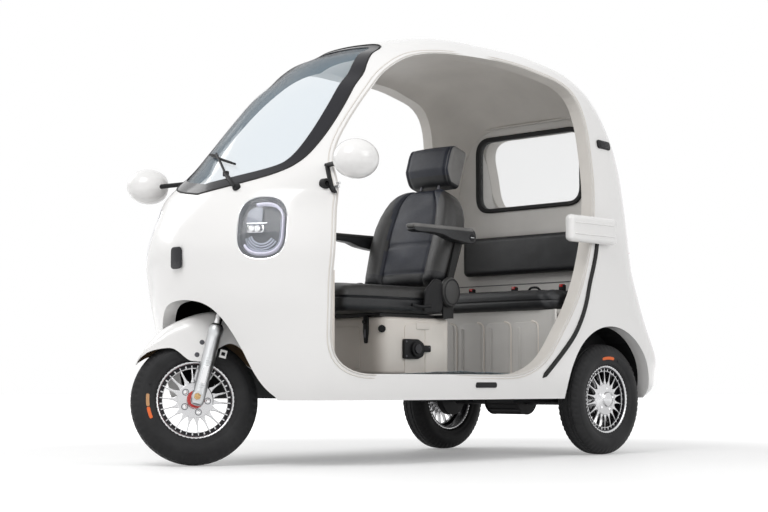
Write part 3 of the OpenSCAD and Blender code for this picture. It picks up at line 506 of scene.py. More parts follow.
def screen_outline(shrink=0):
    pts = fillet(mirrored(SCREEN_SIDE), [0 if p[0] == 0 else 46 for p in mirrored(SCREEN_SIDE)])
    if not shrink:
        return pts
    out = []
    for i in range(len(pts)):
        a, b = pts[i - 3], pts[(i + 3) % len(pts)]
        d = (b - a) / max(1e-6, np.linalg.norm(b - a))
        out.append(pts[i] + np.array([-d[1], d[0]]) * shrink)
    return np.array(out)


def squircle(w, h, r, steps=12):
    return fillet([(-w / 2, -h / 2), (w / 2, -h / 2), (w / 2, h / 2), (-w / 2, h / 2)], r, steps)


def lamp_matrix(side):
    place = Vector((side * LAMP_X, float(skin_front(LAMP_X, LAMP_Z)), LAMP_Z)) * MM
    turn = Matrix.Rotation(math.radians(side * LAMP_YAW), 4, "Z") @ Matrix.Rotation(math.radians(90 - LAMP_PITCH), 4, "X")
    return Matrix.Translation(place) @ turn


def lamp_outline(grow=0.0):
    return squircle(LAMP_W + 2 * grow, LAMP_H + 2 * grow, 90 + grow)


def lamp_cutter(side, depth=90, out=60, grow=0.0):
    obj = prism("lamp_cutter", lamp_outline(grow), lambda u, v, w: (u, v, w), -depth, out)
    obj.data.transform(lamp_matrix(side))
    return obj


def with_material(obj, mat):
    obj.data.materials.clear()
    obj.data.materials.append(mat)
    return obj


def build_shells():
    shell = with_material(body_form("shell"), WHITE)
    boolean(shell, with_material(body_form("cavity", WALL, 80), CREAM))
    boolean(shell, with_material(across("door", door_outline()), CREAM))
    boolean(shell, with_material(along("screen", screen_outline(), -1500, SCREEN_REAR_Y), GLOSS_BLACK))
    w, z0, z1, r = REAR_GLASS
    window = squircle(w, z1 - z0, r * 1.6) + np.array([0, (z0 + z1) / 2])
    boolean(shell, with_material(along("window", window, 0, 1500), CREAM))
    arch = fillet(mirrored([(0, -5)] + ARCH_FRONT[1:] + [(0, 597)]), 60)
    boolean(shell, with_material(along("arch", [(x, z) for x, z in arch], -1500, WELL_BACK_Y), WHITE))
    circle = [(ARCH_Y + ARCH_R * math.cos(a), ARCH_Z + ARCH_R * math.sin(a)) for a in np.linspace(0, math.pi, 60)]
    circle += [(ARCH_Y - ARCH_R, 0), (ARCH_Y + ARCH_R, 0)]
    boolean(shell, with_material(across("wheel_arch", circle), WHITE))
    for side in (-1, 1):
        boolean(shell, with_material(lamp_cutter(side), BLACK))
    parts = {"front_shell": [((-900, -1500, 0), (900, FRONT_SPLIT_Y, 2000)), ((-900, SILL_FRONT_Y, -10), (900, 2000, 600))],
             "rear_shell": [((-900, SILL_REAR_Y, 0), (900, 1500, 2000)), ((-900, -1500, 1200), (900, REAR_SPLIT_Y, 2010))],
             "roof_shell": [((-900, FRONT_SPLIT_Y, 1200), (900, REAR_SPLIT_Y, 2000)), None],
             "side_sills": [((-900, SILL_FRONT_Y, 0), (900, SILL_REAR_Y, 1000)), None]}
    for node, (keep, drop) in parts.items():
        piece = copy_object(shell, node + "_skin")
        boolean(piece, with_material(box_object("keep", *keep), WHITE), "INTERSECT")
        if drop:
            boolean(piece, with_material(box_object("drop", *drop), WHITE))
        finish_edges(piece)
        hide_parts(node)
        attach(piece, "chassis")
    remove(shell)


build_shells()


# General mesh builders
def frame_matrix(origin, z_axis, x_hint=(1, 0, 0)):
    z = Vector(z_axis).normalized()
    x = (Vector(x_hint) - z * Vector(x_hint).dot(z)).normalized()
    y = z.cross(x)
    m = Matrix((x, y, z)).transposed().to_4x4()
    m.translation = Vector(origin) * MM
    return m


def settle(obj, matrix, body, mat, node=None, slot=None, angle=35, replaces=None):
    """Puts a modelled piece in its place, gives it its finish and ties it to its body."""
    if matrix is not None:
        obj.data.transform(matrix)
        if matrix.determinant() < 0:
            obj.data.flip_normals()
    if mat is not None and not obj.data.materials:
        obj.data.materials.append(mat)
    finish_edges(obj, angle)
    if replaces:
        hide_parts(*replaces)
    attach(obj, body)
    return obj


def lathe(name, profile, steps=96, closed=True):
    """A profile of (x, r) turned about the X axis."""
    prof = np.array(profile, float)
    n = len(prof)
    verts, faces = [], []
    for k in range(steps):
        a = 2 * math.pi * k / steps
        verts += [(x, r * math.sin(a), r * math.cos(a)) for x, r in prof]
    last = n if closed else n - 1
    for k in range(steps):
        j = (k + 1) % steps
        faces += [(k * n + i, k * n + (i + 1) % n, j * n + (i + 1) % n, j * n + i) for i in range(last)]
    obj = new_object(name, np.array(verts) * MM, faces)
    fix_normals(obj)
    return obj


def join(name, objects):
    bm = bmesh.new()
    mats, offset = [], {}
    for o in objects:
        for m in o.data.materials:
            if m not in mats:
                mats.append(m)
    for o in objects:
        start = len(bm.faces)
        bm.from_mesh(o.data)
        bm.faces.ensure_lookup_table()
        own = list(o.data.materials)
        for f in bm.faces[start:]:
            f.material_index = mats.index(own[f.material_index]) if own else 0
    mesh = bpy.data.meshes.new(name)
    bm.to_mesh(mesh)
    bm.free()
    for m in mats:
        mesh.materials.append(m)
    obj = bpy.data.objects.new(name, mesh)
    bpy.context.scene.collection.objects.link(obj)
    for o in objects:
        remove(o)
    return obj


def bar(name, a, b, radius, steps=24, mat=None):
    """A round bar between two points in millimetres, its ends slightly chamfered."""
    a, b = Vector(a), Vector(b)
    length = (b - a).length
    c = min(1.5, radius * 0.3)
    obj = lathe(name, [(0, 0.01), (0, radius - c), (c, radius), (length - c, radius), (length, radius - c), (length, 0.01)],
                steps, closed=False)
    turn = (b - a).to_track_quat("X", "Z").to_matrix().to_4x4()
    turn.translation = a * MM
    obj.data.transform(turn)
    if mat:
        with_material(obj, mat)
    return obj


def tube(name, points, radius, steps=12, mat=None, rows=8):
    """A round flexible line through points in millimetres."""
    pts = spline_rows([tuple(p) for p in points], rows)
    verts, faces = [], []
    side = Vector((0.3, 0.2, 1)).normalized()
    for i, p in enumerate(pts):
        t = Vector(pts[min(i + 1, len(pts) - 1)] - pts[max(i - 1, 0)]).normalized()
        u = (side - t * side.dot(t)).normalized()
        v = t.cross(u)
        side = u
        for k in range(steps):
            a = 2 * math.pi * k / steps
            verts.append(Vector(p) + u * math.cos(a) * radius + v * math.sin(a) * radius)
    n = len(pts)
    for i in range(n - 1):
        for k in range(steps):
            faces.append((i * steps + k, i * steps + (k + 1) % steps, (i + 1) * steps + (k + 1) % steps, (i + 1) * steps + k))
    faces += [tuple(range(steps - 1, -1, -1)), tuple((n - 1) * steps + k for k in range(steps))]
    obj = new_object(name, np.array([tuple(v) for v in verts]) * MM, faces)
    fix_normals(obj)
    if mat:
        with_material(obj, mat)
    return obj


def block(name, lo, hi, radius=2.0, mat=None, segments=3):
    obj = box_object(name, lo, hi)
    mod = obj.modifiers.new("round", "BEVEL")
    mod.width, mod.segments, mod.limit_method = radius * MM, segments, "NONE"
    apply_modifiers(obj)
    if mat:
        with_material(obj, mat)
    return obj


def plate(name, outline, thick, mat=None, radius=0.0):
    """A flat outline given thickness along Z, with its edges eased."""
    obj = prism(name, outline, lambda u, v, w: (u, v, w), 0, thick)
    if radius:
        mod = obj.modifiers.new("round", "BEVEL")
        mod.width, mod.segments, mod.limit_method, mod.angle_limit = radius * MM, 3, "ANGLE", math.radians(40)
        apply_modifiers(obj)
    if mat:
        with_material(obj, mat)
    return obj


# Wheels
STEER = Matrix.Translation(Vector((0, -1003.757, 223.921)) * MM) @ Matrix.Rotation(math.radians(-RAKE), 4, "X") @ \
    Matrix.Rotation(math.radians(-LOCK_ANGLE), 4, "Z")
FRONT_WHEEL = STEER @ Matrix.Translation(Vector((0, -FORK_OFFSET, 0)) * MM)
REAR_LEFT = Matrix.Translation(Vector((TRACK / 2, REAR_AXLE_Y, TYRE_D / 2)) * MM)
REAR_RIGHT = Matrix.Translation(Vector((-TRACK / 2, REAR_AXLE_Y, TYRE_D / 2)) * MM) @ Matrix.Rotation(math.pi, 4, "Z")
TREAD_PITCHES = 58
TYRE_ROWS = [(0, 230), (9, 229.9), (11, 226.5), (14, 226.5), (16, 229.6), (25, 228.7), (27, 225.5), (30, 225.5),
             (32, 227.6), (37, 224.8), (42, 220.3), (46, 214.6), (49.5, 208), (51.5, 203), (52.2, 200), (53.6, 198.5),
             (55, 193), (56, 187), (55.9, 181), (55.2, 175), (54, 169), (52.6, 164), (51.6, 162.4), (51.4, 160),
             (50.6, 157), (49.6, 152.4), (49.2, 150), (47.6, 147.4), (46, 146), (43, 142.4)]
TYRE_STEPS = 348


def tyre_mesh(name):
    """The tyre with its ribs and shoulder blocks pressed into the tread."""
    half = TYRE_ROWS
    rows = [(-x, r) for x, r in half[::-1]] + half[1:]
    rows = np.array(rows, float)
    n = len(rows)
    verts = []
    for k in range(TYRE_STEPS):
        a = 2 * math.pi * k / TYRE_STEPS
        for x, r in rows:
            side = 1 if x > 0 else -1
            phase = (TREAD_PITCHES * k / TYRE_STEPS + (0.5 if side < 0 else 0) + 0.004 * abs(x)) % 1.0
            cut = 0.0
            if 33 < abs(x) < 50 and phase < 0.34:
                cut = 3.2 * min(1, (abs(x) - 33) / 5) * (1 if abs(x) < 47 else 0.5)
            elif 15 < abs(x) < 26 and 0.5 < phase < 0.72:
                cut = 2.2
            elif abs(x) < 10 and phase < 0.2:
                cut = 1.6
            verts.append((x, (r - cut) * math.sin(a), (r - cut) * math.cos(a)))
    faces = []
    for k in range(TYRE_STEPS):
        j = (k + 1) % TYRE_STEPS
        faces += [(k * n + i, k * n + i + 1, j * n + i + 1, j * n + i) for i in range(n - 1)]
    # inside of the beads, so that the tyre is closed
    faces += [(k * n + n - 1, k * n, (k + 1) % TYRE_STEPS * n, (k + 1) % TYRE_STEPS * n + n - 1) for k in range(TYRE_STEPS)]
    obj = new_object(name, np.array(verts) * MM, faces)
    fix_normals(obj)
    return obj


def tyre_finish():
    mat, shader = node_material("tyre_black", (0.018, 0.018, 0.019), 0.6)
    coords = object_coords(mat)
    tone = noise(mat, 8.0, 4.0, 0.6, coords)
    mat.node_tree.links.new(ramp(mat, tone, [(0.3, (0.013, 0.013, 0.014)), (0.7, (0.026, 0.026, 0.027))]), shader.inputs["Base Color"])
    rough_range(mat, shader, noise(mat, 30.0, 4.0, 0.6, coords), 0.46, 0.68)
    bump(mat, shader, noise(mat, 260.0, 3.0, 0.6, coords), 0.25, 0.0006)
    return mat


TYRE = tyre_finish()
ORANGE = moulded("patch_orange", (0.85, 0.16, 0.03), 0.5)
TAN = moulded("patch_tan", (0.55, 0.3, 0.14), 0.5)
RED = gloss_paint("washer_red", (0.55, 0.02, 0.015))
BRONZE = metal("bronze_nut", (0.62, 0.42, 0.2), 0.25)


def side_patch(name, start, end, r0, r1, x, mat):
    """A coloured label bonded to the tyre's side wall between two angles, on the outer side."""
    verts, faces = [], []
    steps = 16
    for i in range(steps + 1):
        t = i / steps
        a = math.radians(start + (end - start) * t)
        round_off = 1 - 0.35 * max(0, (abs(t - 0.5) - 0.42) / 0.08)
        mid, half = (r0 + r1) / 2, (r1 - r0) / 2 * round_off
        for q in (-1, 0, 1):
            r = mid + q * half
            wall = np.interp(r, [p[1] for p in TYRE_ROWS[::-1]], [p[0] for p in TYRE_ROWS[::-1]])
            verts.append((wall + x, r * math.sin(a), r * math.cos(a)))
    for i in range(steps):
        for q in range(2):
            faces.append((i * 3 + q, i * 3 + q + 1, i * 3 + q + 4, i * 3 + q + 3))
    obj = new_object(name, np.array(verts) * MM, faces)
    mod = obj.modifiers.new("thick", "SOLIDIFY")
    mod.thickness, mod.offset = 0.0009, 0
    apply_modifiers(obj)
    return with_material(obj, mat)


RING_SLOTS = 36
SPOKES = 18
HUB_R, RING_IN, RING_OUT, RIM_R = 66, 119, 132, 141


def rim_mesh(name, hub_profile):
    """Cast wheel: lip, dark barrel, ring of small windows, slim spokes and a bright hub."""
    parts = []
    barrel = lathe("barrel", [(-40, 140.5), (-40, 130), (-36, 128.5), (36, 128.5), (38, 130), (38, 134), (33, 133), (-33, 133), (-37, 141)], 120)
    parts.append(with_material(barrel, GLOSS_BLACK))
    lip = lathe("lip", [(34, 133), (38, 133), (40.5, 135.5), (41.5, 138), (41.5, 140.5), (40, 142), (37, 142), (37, 138), (34, 136.5)], 120)
    parts.append(with_material(lip, ALLOY))
    back_lip = lathe("back_lip", [(-34, 133), (-38, 133), (-41, 137), (-41, 141), (-38, 142), (-37, 138)], 120)
    parts.append(with_material(back_lip, ALLOY))
    for r0, r1 in ((RING_OUT - 0.5, RING_OUT + 2.2), (RING_IN - 2.2, RING_IN + 0.6)):
        ring = lathe("ring", [(26, r0), (31.6, r0), (32.2, r0 + 0.6), (32.2, r1 - 0.6), (31.6, r1), (26, r1)], 120)
        parts.append(with_material(ring, ALLOY))
    pocket = lathe("pocket", [(14, RING_IN - 1), (22, RING_IN - 1), (22, RING_OUT + 1), (14, RING_OUT + 1)], 72)
    parts.append(with_material(pocket, GLOSS_BLACK))
    for i in range(RING_SLOTS):
        wide = 2.4 if i % 2 else 1.8
        rib = box_object("rib", (25, -wide, RING_IN - 1), (31.4, wide, RING_OUT + 1))
        rib.data.transform(Matrix.Rotation(2 * math.pi * i / RING_SLOTS, 4, "X"))
        parts.append(with_material(rib, ALLOY))
    for i in range(SPOKES):
        outline = [(HUB_R - 6, -9.5), (HUB_R + 4, -8), (HUB_R + 12, -4.2), (HUB_R + 24, -2.5), (RING_IN, -1.9),
                   (RING_IN, 1.9), (HUB_R + 24, 2.5), (HUB_R + 12, 4.2), (HUB_R + 4, 8), (HUB_R - 6, 9.5)]
        spoke = prism("spoke", outline, lambda u, v, w: (w + 2.5 * (RING_IN - u) / 53, v, u), 14, 31.5)
        bright(spoke, 0.9)
        spoke.data.transform(Matrix.Rotation(2 * math.pi * (i + 0.0) / SPOKES, 4, "X"))
        parts.append(spoke)
    hub = lathe("hub", hub_profile, 96, closed=False)
    parts.append(with_material(hub, ALLOY))
    for i in range(5):
        a = 2 * math.pi * (i + 0.1) / 5
        cup = lathe("cup", [(31, 0.1), (35.2, 0.1), (35.2, 9.4), (37.8, 9.8), (37.8, 12.2), (33, 12.4)], 28, closed=False)
        nut = lathe("nut", [(34, 6.6), (40.2, 6.6), (41.6, 4.2), (41.6, 0.1)], 6, closed=False)
        for o, mat in ((cup, DARK_METAL), (nut, CHROME)):
            o.data.transform(Matrix.Translation(Vector((0, 45 * math.sin(a), 45 * math.cos(a))) * MM))
            parts.append(with_material(o, mat))
    return join(name, parts)


def bright(obj, edge=0.8):
    mod = obj.modifiers.new("round", "BEVEL")
    mod.width, mod.segments, mod.limit_method, mod.angle_limit = edge * MM, 2, "ANGLE", math.radians(40)
    apply_modifiers(obj)
    return with_material(obj, ALLOY)


FRONT_HUB = [(-40, 0.1), (-40, 30), (-30, 44), (8, 50), (14, 62), (30, 66.5), (34, 66), (36, 63), (36.5, 40), (37.5, 33), (37.5, 0.1)]
REAR_HUB = [(-40, 0.1), (-40, 60), (8, 62), (16, 66), (32, 67), (36, 64), (37, 60), (37.5, 58), (41, 36), (44, 31), (50, 28), (53, 22), (54, 0.1)]
BRAKE_DRUM = [(-44, 0.1), (-44, 70), (-40, 76), (6, 80), (10, 76), (10, 0.1)]


def build_wheels():
    sets = [("front", "front_wheel", FRONT_WHEEL, FRONT_HUB, 248, 212),
            ("rear_left", "rear_wheel_left", REAR_LEFT, REAR_HUB, 12, -14),
            ("rear_right", "rear_wheel_right", REAR_RIGHT, REAR_HUB, 130, 160)]
    for key, body, place, hub, patch_a, patch_b in sets:
        tail = key.replace("rear_", "")
        names = ("front_tyre", "front_rim") if key == "front" else ("rear_tyre_" + tail, "rear_rim_" + tail)
        tyre = tyre_mesh(key + "_tyre_tread")
        parts = [with_material(tyre, TYRE)]
        mid = (patch_a + patch_b) / 2
        if key == "front":
            parts.append(side_patch("patch", 262, 247, 166, 178, 0.6, TAN))
            parts.append(side_patch("patch", 246, 232, 166, 178, 0.6, ORANGE))
        else:
            parts.append(side_patch("patch", patch_a, patch_b, 166, 178, 0.6, ORANGE))
        dot = lathe("dot", [(50, 5), (56.4, 5), (57, 3.5), (57, 0.1)], 20, closed=False)
        a = math.radians(274 if key == "front" else 22)
        dot.data.transform(Matrix.Translation(Vector((0, 172 * math.sin(a), 172 * math.cos(a))) * MM))
        parts.append(with_material(dot, BLACK))
        settle(join(key + "_tyre_tread", parts), place, body, None, slot="tyre_black", angle=40, replaces=[names[0]])
        rim = rim_mesh(key + "_wheel_cast", hub)
        settle(rim, place, body, None, slot="alloy", angle=32, replaces=[names[1]])


build_wheels()


# Front fork and mudguard
def on_steering(obj, mat, **words):
    return settle(obj, STEER, "steering", mat, **words)


GUARD_ROWS = [  # angle about the hub, crest radius, skirt radius, half width at the skirt
    (19, 252, 250, 20), (22, 255, 250, 40), (25, 257.5, 247, 52), (31, 262, 240, 60), (40, 273, 223, 64), (50, 285.5, 204, 65),
    (55, 291, 184, 65), (60, 297, 160, 65), (66, 304, 143, 65), (74, 317, 138, 65), (82, 331, 138, 65), (88, 340, 150, 65),
    (94, 341, 172, 65), (100, 338, 206, 65), (106, 331, 236, 65), (113, 315, 246, 65), (124, 290, 247, 65),
    (130, 276, 250, 64), (134, 267, 256, 58), (136, 262, 258, 48)]


def build_guard():
    rows = spline_rows(GUARD_ROWS, 5)
    section = []
    verts, faces = [], []
    count = 33
    for ang, crest, skirt, half in rows:
        a = math.radians(ang)
        drop = min(62, max(6.0, (crest - skirt) * 0.9))
        for i in range(count):
            t = -1 + 2 * i / (count - 1)
            s = abs(t)
            if s < 0.62:
                q = s / 0.62
                x = 50 * (half / 65) * q
                r = crest - 0.26 * drop * q ** 2.2
            else:
                q = (s - 0.62) / 0.38
                x = half * (50 / 65 + (15 / 65) * math.sin(min(1, q * 2.4) * math.pi / 2))
                top = crest - 0.26 * drop
                r = top + (skirt - top) * (0.22 * q + 0.78 * q ** 1.5)
            x = math.copysign(x, t)
            verts.append((x, -FORK_OFFSET - r * math.cos(a), r * math.sin(a)))
    for k in range(len(rows) - 1):
        for i in range(count - 1):
            faces.append((k * count + i, k * count + i + 1, (k + 1) * count + i + 1, (k + 1) * count + i))
    obj = new_object("front_mudguard", np.array(verts) * MM, faces)
    obj.data.materials.append(WHITE)
    obj.data.materials.append(GUARD_INNER)
    mod = obj.modifiers.new("thick", "SOLIDIFY")
    mod.thickness, mod.offset, mod.use_even_offset = 0.0035, 0, True
    mod.material_offset, mod.material_offset_rim = 1, 0
    apply_modifiers(obj)
    on_steering(obj, None, slot="body_white", angle=50, replaces=["front_guard"])
    bolts = []
    for y, z in ((-53, 206), (-59, 157)):
        for side in (1, -1):
            bolt = lathe("bolt", [(0, 0.1), (0, 9), (3, 9), (4, 7), (4, 5.5), (2.6, 4.8), (2.6, 0.1)], 28, closed=False)
            turn = Matrix.Translation(Vector((side * 64.5, y, z)) * MM) @ Matrix.Scale(side, 4, (1, 0, 0))
            bolt.data.transform(turn)
            bolts.append(with_material(bolt, DARK_METAL))
    on_steering(join("guard_bolts", bolts), None)


GUARD_INNER = moulded("guard_inner", (0.24, 0.16, 0.09), 0.7)
build_guard()


def build_fork():
    y0 = -FORK_OFFSET + 5
    parts = []
    for side in (1, -1):
        x = side * 93
        leg = lathe("leg", [(-27, 0.1), (-27, 14), (-24, 20), (-14, 24), (0, 24.5), (60, 24.2), (140, 25), (225, 25.5), (238, 26.5),
                            (242, 28), (264, 28), (270, 26), (272, 20), (272, 0.1)], 48, closed=False)
        stand = Matrix.Translation(Vector((x, y0, 0)) * MM) @ Matrix.Rotation(-math.pi / 2, 4, "Y")
        leg.data.transform(stand)
        parts.append(with_material(leg, SILVER))
        stan = bar("stanchion", (x, y0, 268), (x, y0, 382), 15, 32, CHROME)
        wiper_seal = lathe("seal", [(268, 0.1), (268, 21), (276, 21), (279, 18), (279, 0.1)], 32, closed=False)
        wiper_seal.data.transform(stand)
        parts += [stan, with_material(wiper_seal, RUBBER)]
        outer = x + side * 21.5
        recess = plate("recess", squircle(19, 66, 5, 6), 5.5, CHROME, 1.6)
        recess.data.transform(Matrix.Translation(Vector((outer if side > 0 else outer, y0, 84)) * MM)
                              @ Matrix.Rotation(math.radians(90 * side), 4, "Y") @ Matrix.Rotation(math.radians(90), 4, "Z"))
        parts.append(recess)
        for z, wide in ((128, 14), (136, 18), (146, 20), (44, 18), (36, 16)):
            rib = block("rib", (min(outer, outer + side * 4.6), y0 - wide / 2, z - 1.4), (max(outer, outer + side * 4.6), y0 + wide / 2, z + 1.4), 0.9, SILVER)
            parts.append(rib)
        spine = block("spine", (min(outer, outer + side * 4.2), y0 - 2, 150), (max(outer, outer + side * 4.2), y0 + 2, 236), 1.4, SILVER)
        parts.append(spine)
    clamp = block("clamp", (-117, -FORK_OFFSET - 26, 352.5), (117, 30, 385.5), 12, FRAME_BLACK)
    parts.append(clamp)
    stem = bar("stem", (0, 0, 353), (0, 0, 798), 17, 32, FRAME_BLACK)
    parts.append(stem)
    on_steering(join("front_fork", parts), None, slot="silver_paint", replaces=["fork"])
    axle = []
    for side in (1, -1):
        red = lathe("red_ring", [(48, 0.1), (48, 32), (60, 32), (63, 29), (63, 22), (64, 0.1)], 48, closed=False)
        nut = lathe("nut", [(116, 12.6), (124, 12.6), (126.5, 10.4), (126.5, 0.1)], 6, closed=False)
        washer = lathe("washer", [(113, 0.1), (113, 18.5), (116.6, 18.5), (117.4, 17.4), (117.4, 0.1)], 32, closed=False)
        end = lathe("end", [(120, 6), (131, 6), (132.4, 4.6), (132.4, 0.1)], 24, closed=False)
        for o, mat in ((red, RED), (nut, BRONZE), (washer, SILVER), (end, BRONZE)):
            o.data.transform(Matrix.Translation(Vector((0, -FORK_OFFSET, 0)) * MM) @ Matrix.Scale(side, 4, (1, 0, 0)))
            axle.append(with_material(o, mat))
    core = lathe("axle", [(-114, 0.1), (-114, 9), (114, 9), (114, 0.1)], 24, closed=False)
    core.data.transform(Matrix.Translation(Vector((0, -FORK_OFFSET, 0)) * MM))
    axle.append(with_material(core, SILVER))
    bracket = block("bracket", (78, 18, 166), (84, 44, 196), 1.5, WHITE)
    hole = block("hole", (76, 24, 174), (86, 38, 188), 1.0, WHITE)
    boolean(bracket, hole)
    axle.append(bracket)
    on_steering(join("front_axle", axle), None, slot="silver_paint")


build_fork()


# Outer fittings
def mirror_copy(obj, name=None):
    twin = copy_object(obj, name or obj.name + "_right")
    twin.data.transform(Matrix.Scale(-1, 4, (1, 0, 0)))
    twin.data.flip_normals()
    return twin


def both_sides(name, obj, body, slot=None, angle=35, replaces=None):
    twin = mirror_copy(obj)
    return settle(join(name, [obj, twin]), None, body, None, slot=slot, angle=angle, replaces=replaces)


LAMP = lamp_matrix(1)
LAMP_INV = np.array(LAMP.inverted())
LAMP_NP = np.array(LAMP)


def lamp_skin(u, v):
    """Depth of the body's skin in the lamp's own frame, in millimetres."""
    u, v = np.asarray(u, float), np.asarray(v, float)
    lo, hi = np.full(u.shape, -120.0), np.full(u.shape, 90.0)
    for _ in range(30):
        w = (lo + hi) / 2
        p = LAMP_NP[:3, :3] @ np.stack([u.ravel(), v.ravel(), w.ravel()]) + LAMP_NP[:3, 3:4] / MM
        outside = (p[1] < skin_front(p[0], p[2])).reshape(u.shape)
        hi = np.where(outside, w, hi)
        lo = np.where(outside, lo, w)
    return (lo + hi) / 2


def lamp_band(name, steps, mat, start=0, end=360, shift=(0, 0)):
    """A ring in the lamp through (size, depth under the skin) steps, for a range of angles."""
    base = lamp_outline()
    ang = np.degrees(np.arctan2(base[:, 1], base[:, 0])) % 360
    base = base[np.argsort(ang)]
    ang = np.sort(ang)
    whole = end - start >= 360
    if whole:
        pts = base
    else:
        want = np.linspace(start, end, 60) % 360
        full = np.concatenate([ang - 360, ang, ang + 360])
        pts = np.stack([np.interp(want, full, np.tile(base[:, k], 3)) for k in (0, 1)], 1)
    verts, n = [], len(pts)
    for t, depth in steps:
        q = pts * t + np.array(shift)
        w = lamp_skin(pts[:, 0] * max(t, 0.86), pts[:, 1] * max(t, 0.86)) - depth
        verts.append(np.column_stack([q, w]))
    verts = np.vstack(verts)
    faces = []
    for k in range(len(steps) - 1):
        for i in range(n if whole else n - 1):
            j = (i + 1) % n
            faces.append((k * n + i, k * n + j, (k + 1) * n + j, (k + 1) * n + i))
    obj = new_object(name, verts * MM, faces)
    obj.data.transform(LAMP)
    return with_material(obj, mat)


def lamp_fan(name, t, depth, mat, rings=10, flat=None):
    base = lamp_outline()
    n = len(base)
    verts = []
    for k in range(rings + 1):
        q = base * t * k / rings
        w = lamp_skin(q[:, 0], q[:, 1]) - depth if flat is None else np.full(n, flat)
        verts.append(np.column_stack([q, w]))
    faces = [(k * n + i, k * n + (i + 1) % n, (k + 1) * n + (i + 1) % n, (k + 1) * n + i) for k in range(rings) for i in range(n)]
    obj = new_object(name, np.vstack(verts) * MM, faces)
    obj.data.transform(LAMP)
    bm = bmesh.new()
    bm.from_mesh(obj.data)
    bmesh.ops.remove_doubles(bm, verts=bm.verts, dist=1e-5)
    bm.to_mesh(obj.data)
    bm.free()
    return with_material(obj, mat)


def in_lamp(obj):
    obj.data.transform(LAMP)
    return obj


HALO = moulded("halo_white", (0.78, 0.76, 0.9), 0.3)
HALO_SHADER = HALO.node_tree.nodes["Principled BSDF"]
HALO_SHADER.inputs["Emission Color"].default_value = (0.82, 0.8, 1.0, 1)
HALO_SHADER.inputs["Emission Strength"].default_value = 0.25
LAMP_GREY = metal("lamp_grey", (0.32, 0.34, 0.4), 0.3)
LAMP_BLUE = gloss_paint("lamp_panel", (0.16, 0.18, 0.24))
LENS = glass("lamp_lens", (0.8, 0.84, 0.9), 0.10)
SMOKE = gloss_paint("lamp_smoke", (0.02, 0.022, 0.028))


def build_headlamps():
    parts = [lamp_band("rim", [(1.005, 3), (1.0, 0.2), (0.985, -0.6), (0.968, 0.4), (0.965, 4)], CHROME),
             lamp_band("bezel", [(0.97, 2), (0.95, 4), (0.87, 11), (0.845, 20), (0.84, 30)], GLOSS_BLACK),
             lamp_band("halo", [(0.83, 26), (0.825, 14), (0.80, 9), (0.765, 9), (0.745, 14), (0.74, 28)], HALO, -135, 108),
             lamp_band("halo_back", [(0.84, 30), (0.72, 30)], SMOKE),
             lamp_band("inner", [(0.74, 27), (0.70, 22), (0.66, 24), (0.62, 40)], LAMP_GREY, -150, 30),
             lamp_fan("floor", 0.86, 0, SMOKE, 4, flat=-52)]
    panel = plate("panel", fillet([(-64, 14), (-6, 14), (-6, 84), (-34, 84), (-60, 66)], 12), 5, LAMP_BLUE, 1.5)
    panel.data.transform(Matrix.Translation(Vector((0, 0, -34)) * MM))
    parts.append(in_lamp(panel))
    for z, h, w, mat in ((-36, 30, 62, CHROME), (-31, 24, 54, SMOKE)):
        band = plate("band", squircle(w, h, 8, 5) + np.array([-30, 2]), 6, mat, 1.6)
        band.data.transform(Matrix.Translation(Vector((0, 0, z)) * MM))
        parts.append(in_lamp(band))
    for x in (-46, -24):
        eye = lathe("eye", [(0, 13), (5, 13), (6, 12), (7, 10.4), (11, 8), (13.5, 4), (14, 0.1)], 40, closed=False)
        eye.data.transform(Matrix.Translation(Vector((x, 2, -30)) * MM) @ Matrix.Rotation(-math.pi / 2, 4, "Y"))
        parts.append(in_lamp(with_material(eye, CHROME)))
    rail = plate("rail", squircle(78, 3.2, 1.2, 3) + np.array([-24, 20]), 8, CHROME, 0.6)
    rail.data.transform(Matrix.Translation(Vector((0, 0, -32)) * MM))
    parts.append(in_lamp(rail))
    for k, r in enumerate((58, 50, 42)):
        arc = [(-4 + r * math.cos(a), -12 + r * 1.05 * math.sin(a), -40 + 4 * k) for a in np.linspace(math.radians(200), math.radians(330), 12)]
        parts.append(in_lamp(tube("reflector", arc, 3.6, 10, LAMP_GREY, rows=3)))
    lens = lamp_fan("lens", 0.975, 2.0, LENS, 12)
    mod = lens.modifiers.new("thick", "SOLIDIFY")
    mod.thickness = 0.0025
    apply_modifiers(lens)
    parts.append(lens)
    both_sides("headlamp_units", join("headlamp", parts), "chassis", slot="lamp_clear", angle=30, replaces=["headlamps"])


build_headlamps()


def skin_grid(name, outline, centre, lift, mat, rings=22, inner=None):
    """A sheet that follows the nose inside an outline, or between an outline and an inner one."""
    outer, n = np.asarray(outline, float), len(outline)
    verts = []
    for k in range(rings + 1):
        t = k / rings
        q = np.asarray(inner, float) * (1 - t) + outer * t if inner is not None else np.array(centre) + (outer - np.array(centre)) * t
        verts.append(np.column_stack([q[:, 0], skin_front(q[:, 0], q[:, 1]) - lift, q[:, 1]]))
    faces = [(k * n + i, k * n + (i + 1) % n, (k + 1) * n + (i + 1) % n, (k + 1) * n + i) for k in range(rings) for i in range(n)]
    obj = new_object(name, np.vstack(verts) * MM, faces)
    bm = bmesh.new()
    bm.from_mesh(obj.data)
    bmesh.ops.remove_doubles(bm, verts=bm.verts, dist=1e-5)
    bmesh.ops.recalc_face_normals(bm, faces=bm.faces)
    bm.to_mesh(obj.data)
    bm.free()
    return with_material(obj, mat)


def resample(outline, count):
    p = np.vstack([outline, outline[:1]])
    d = np.concatenate([[0], np.cumsum(np.linalg.norm(np.diff(p, axis=0), axis=1))])
    at = np.linspace(0, d[-1], count, endpoint=False)
    return np.stack([np.interp(at, d, p[:, k]) for k in (0, 1)], 1)


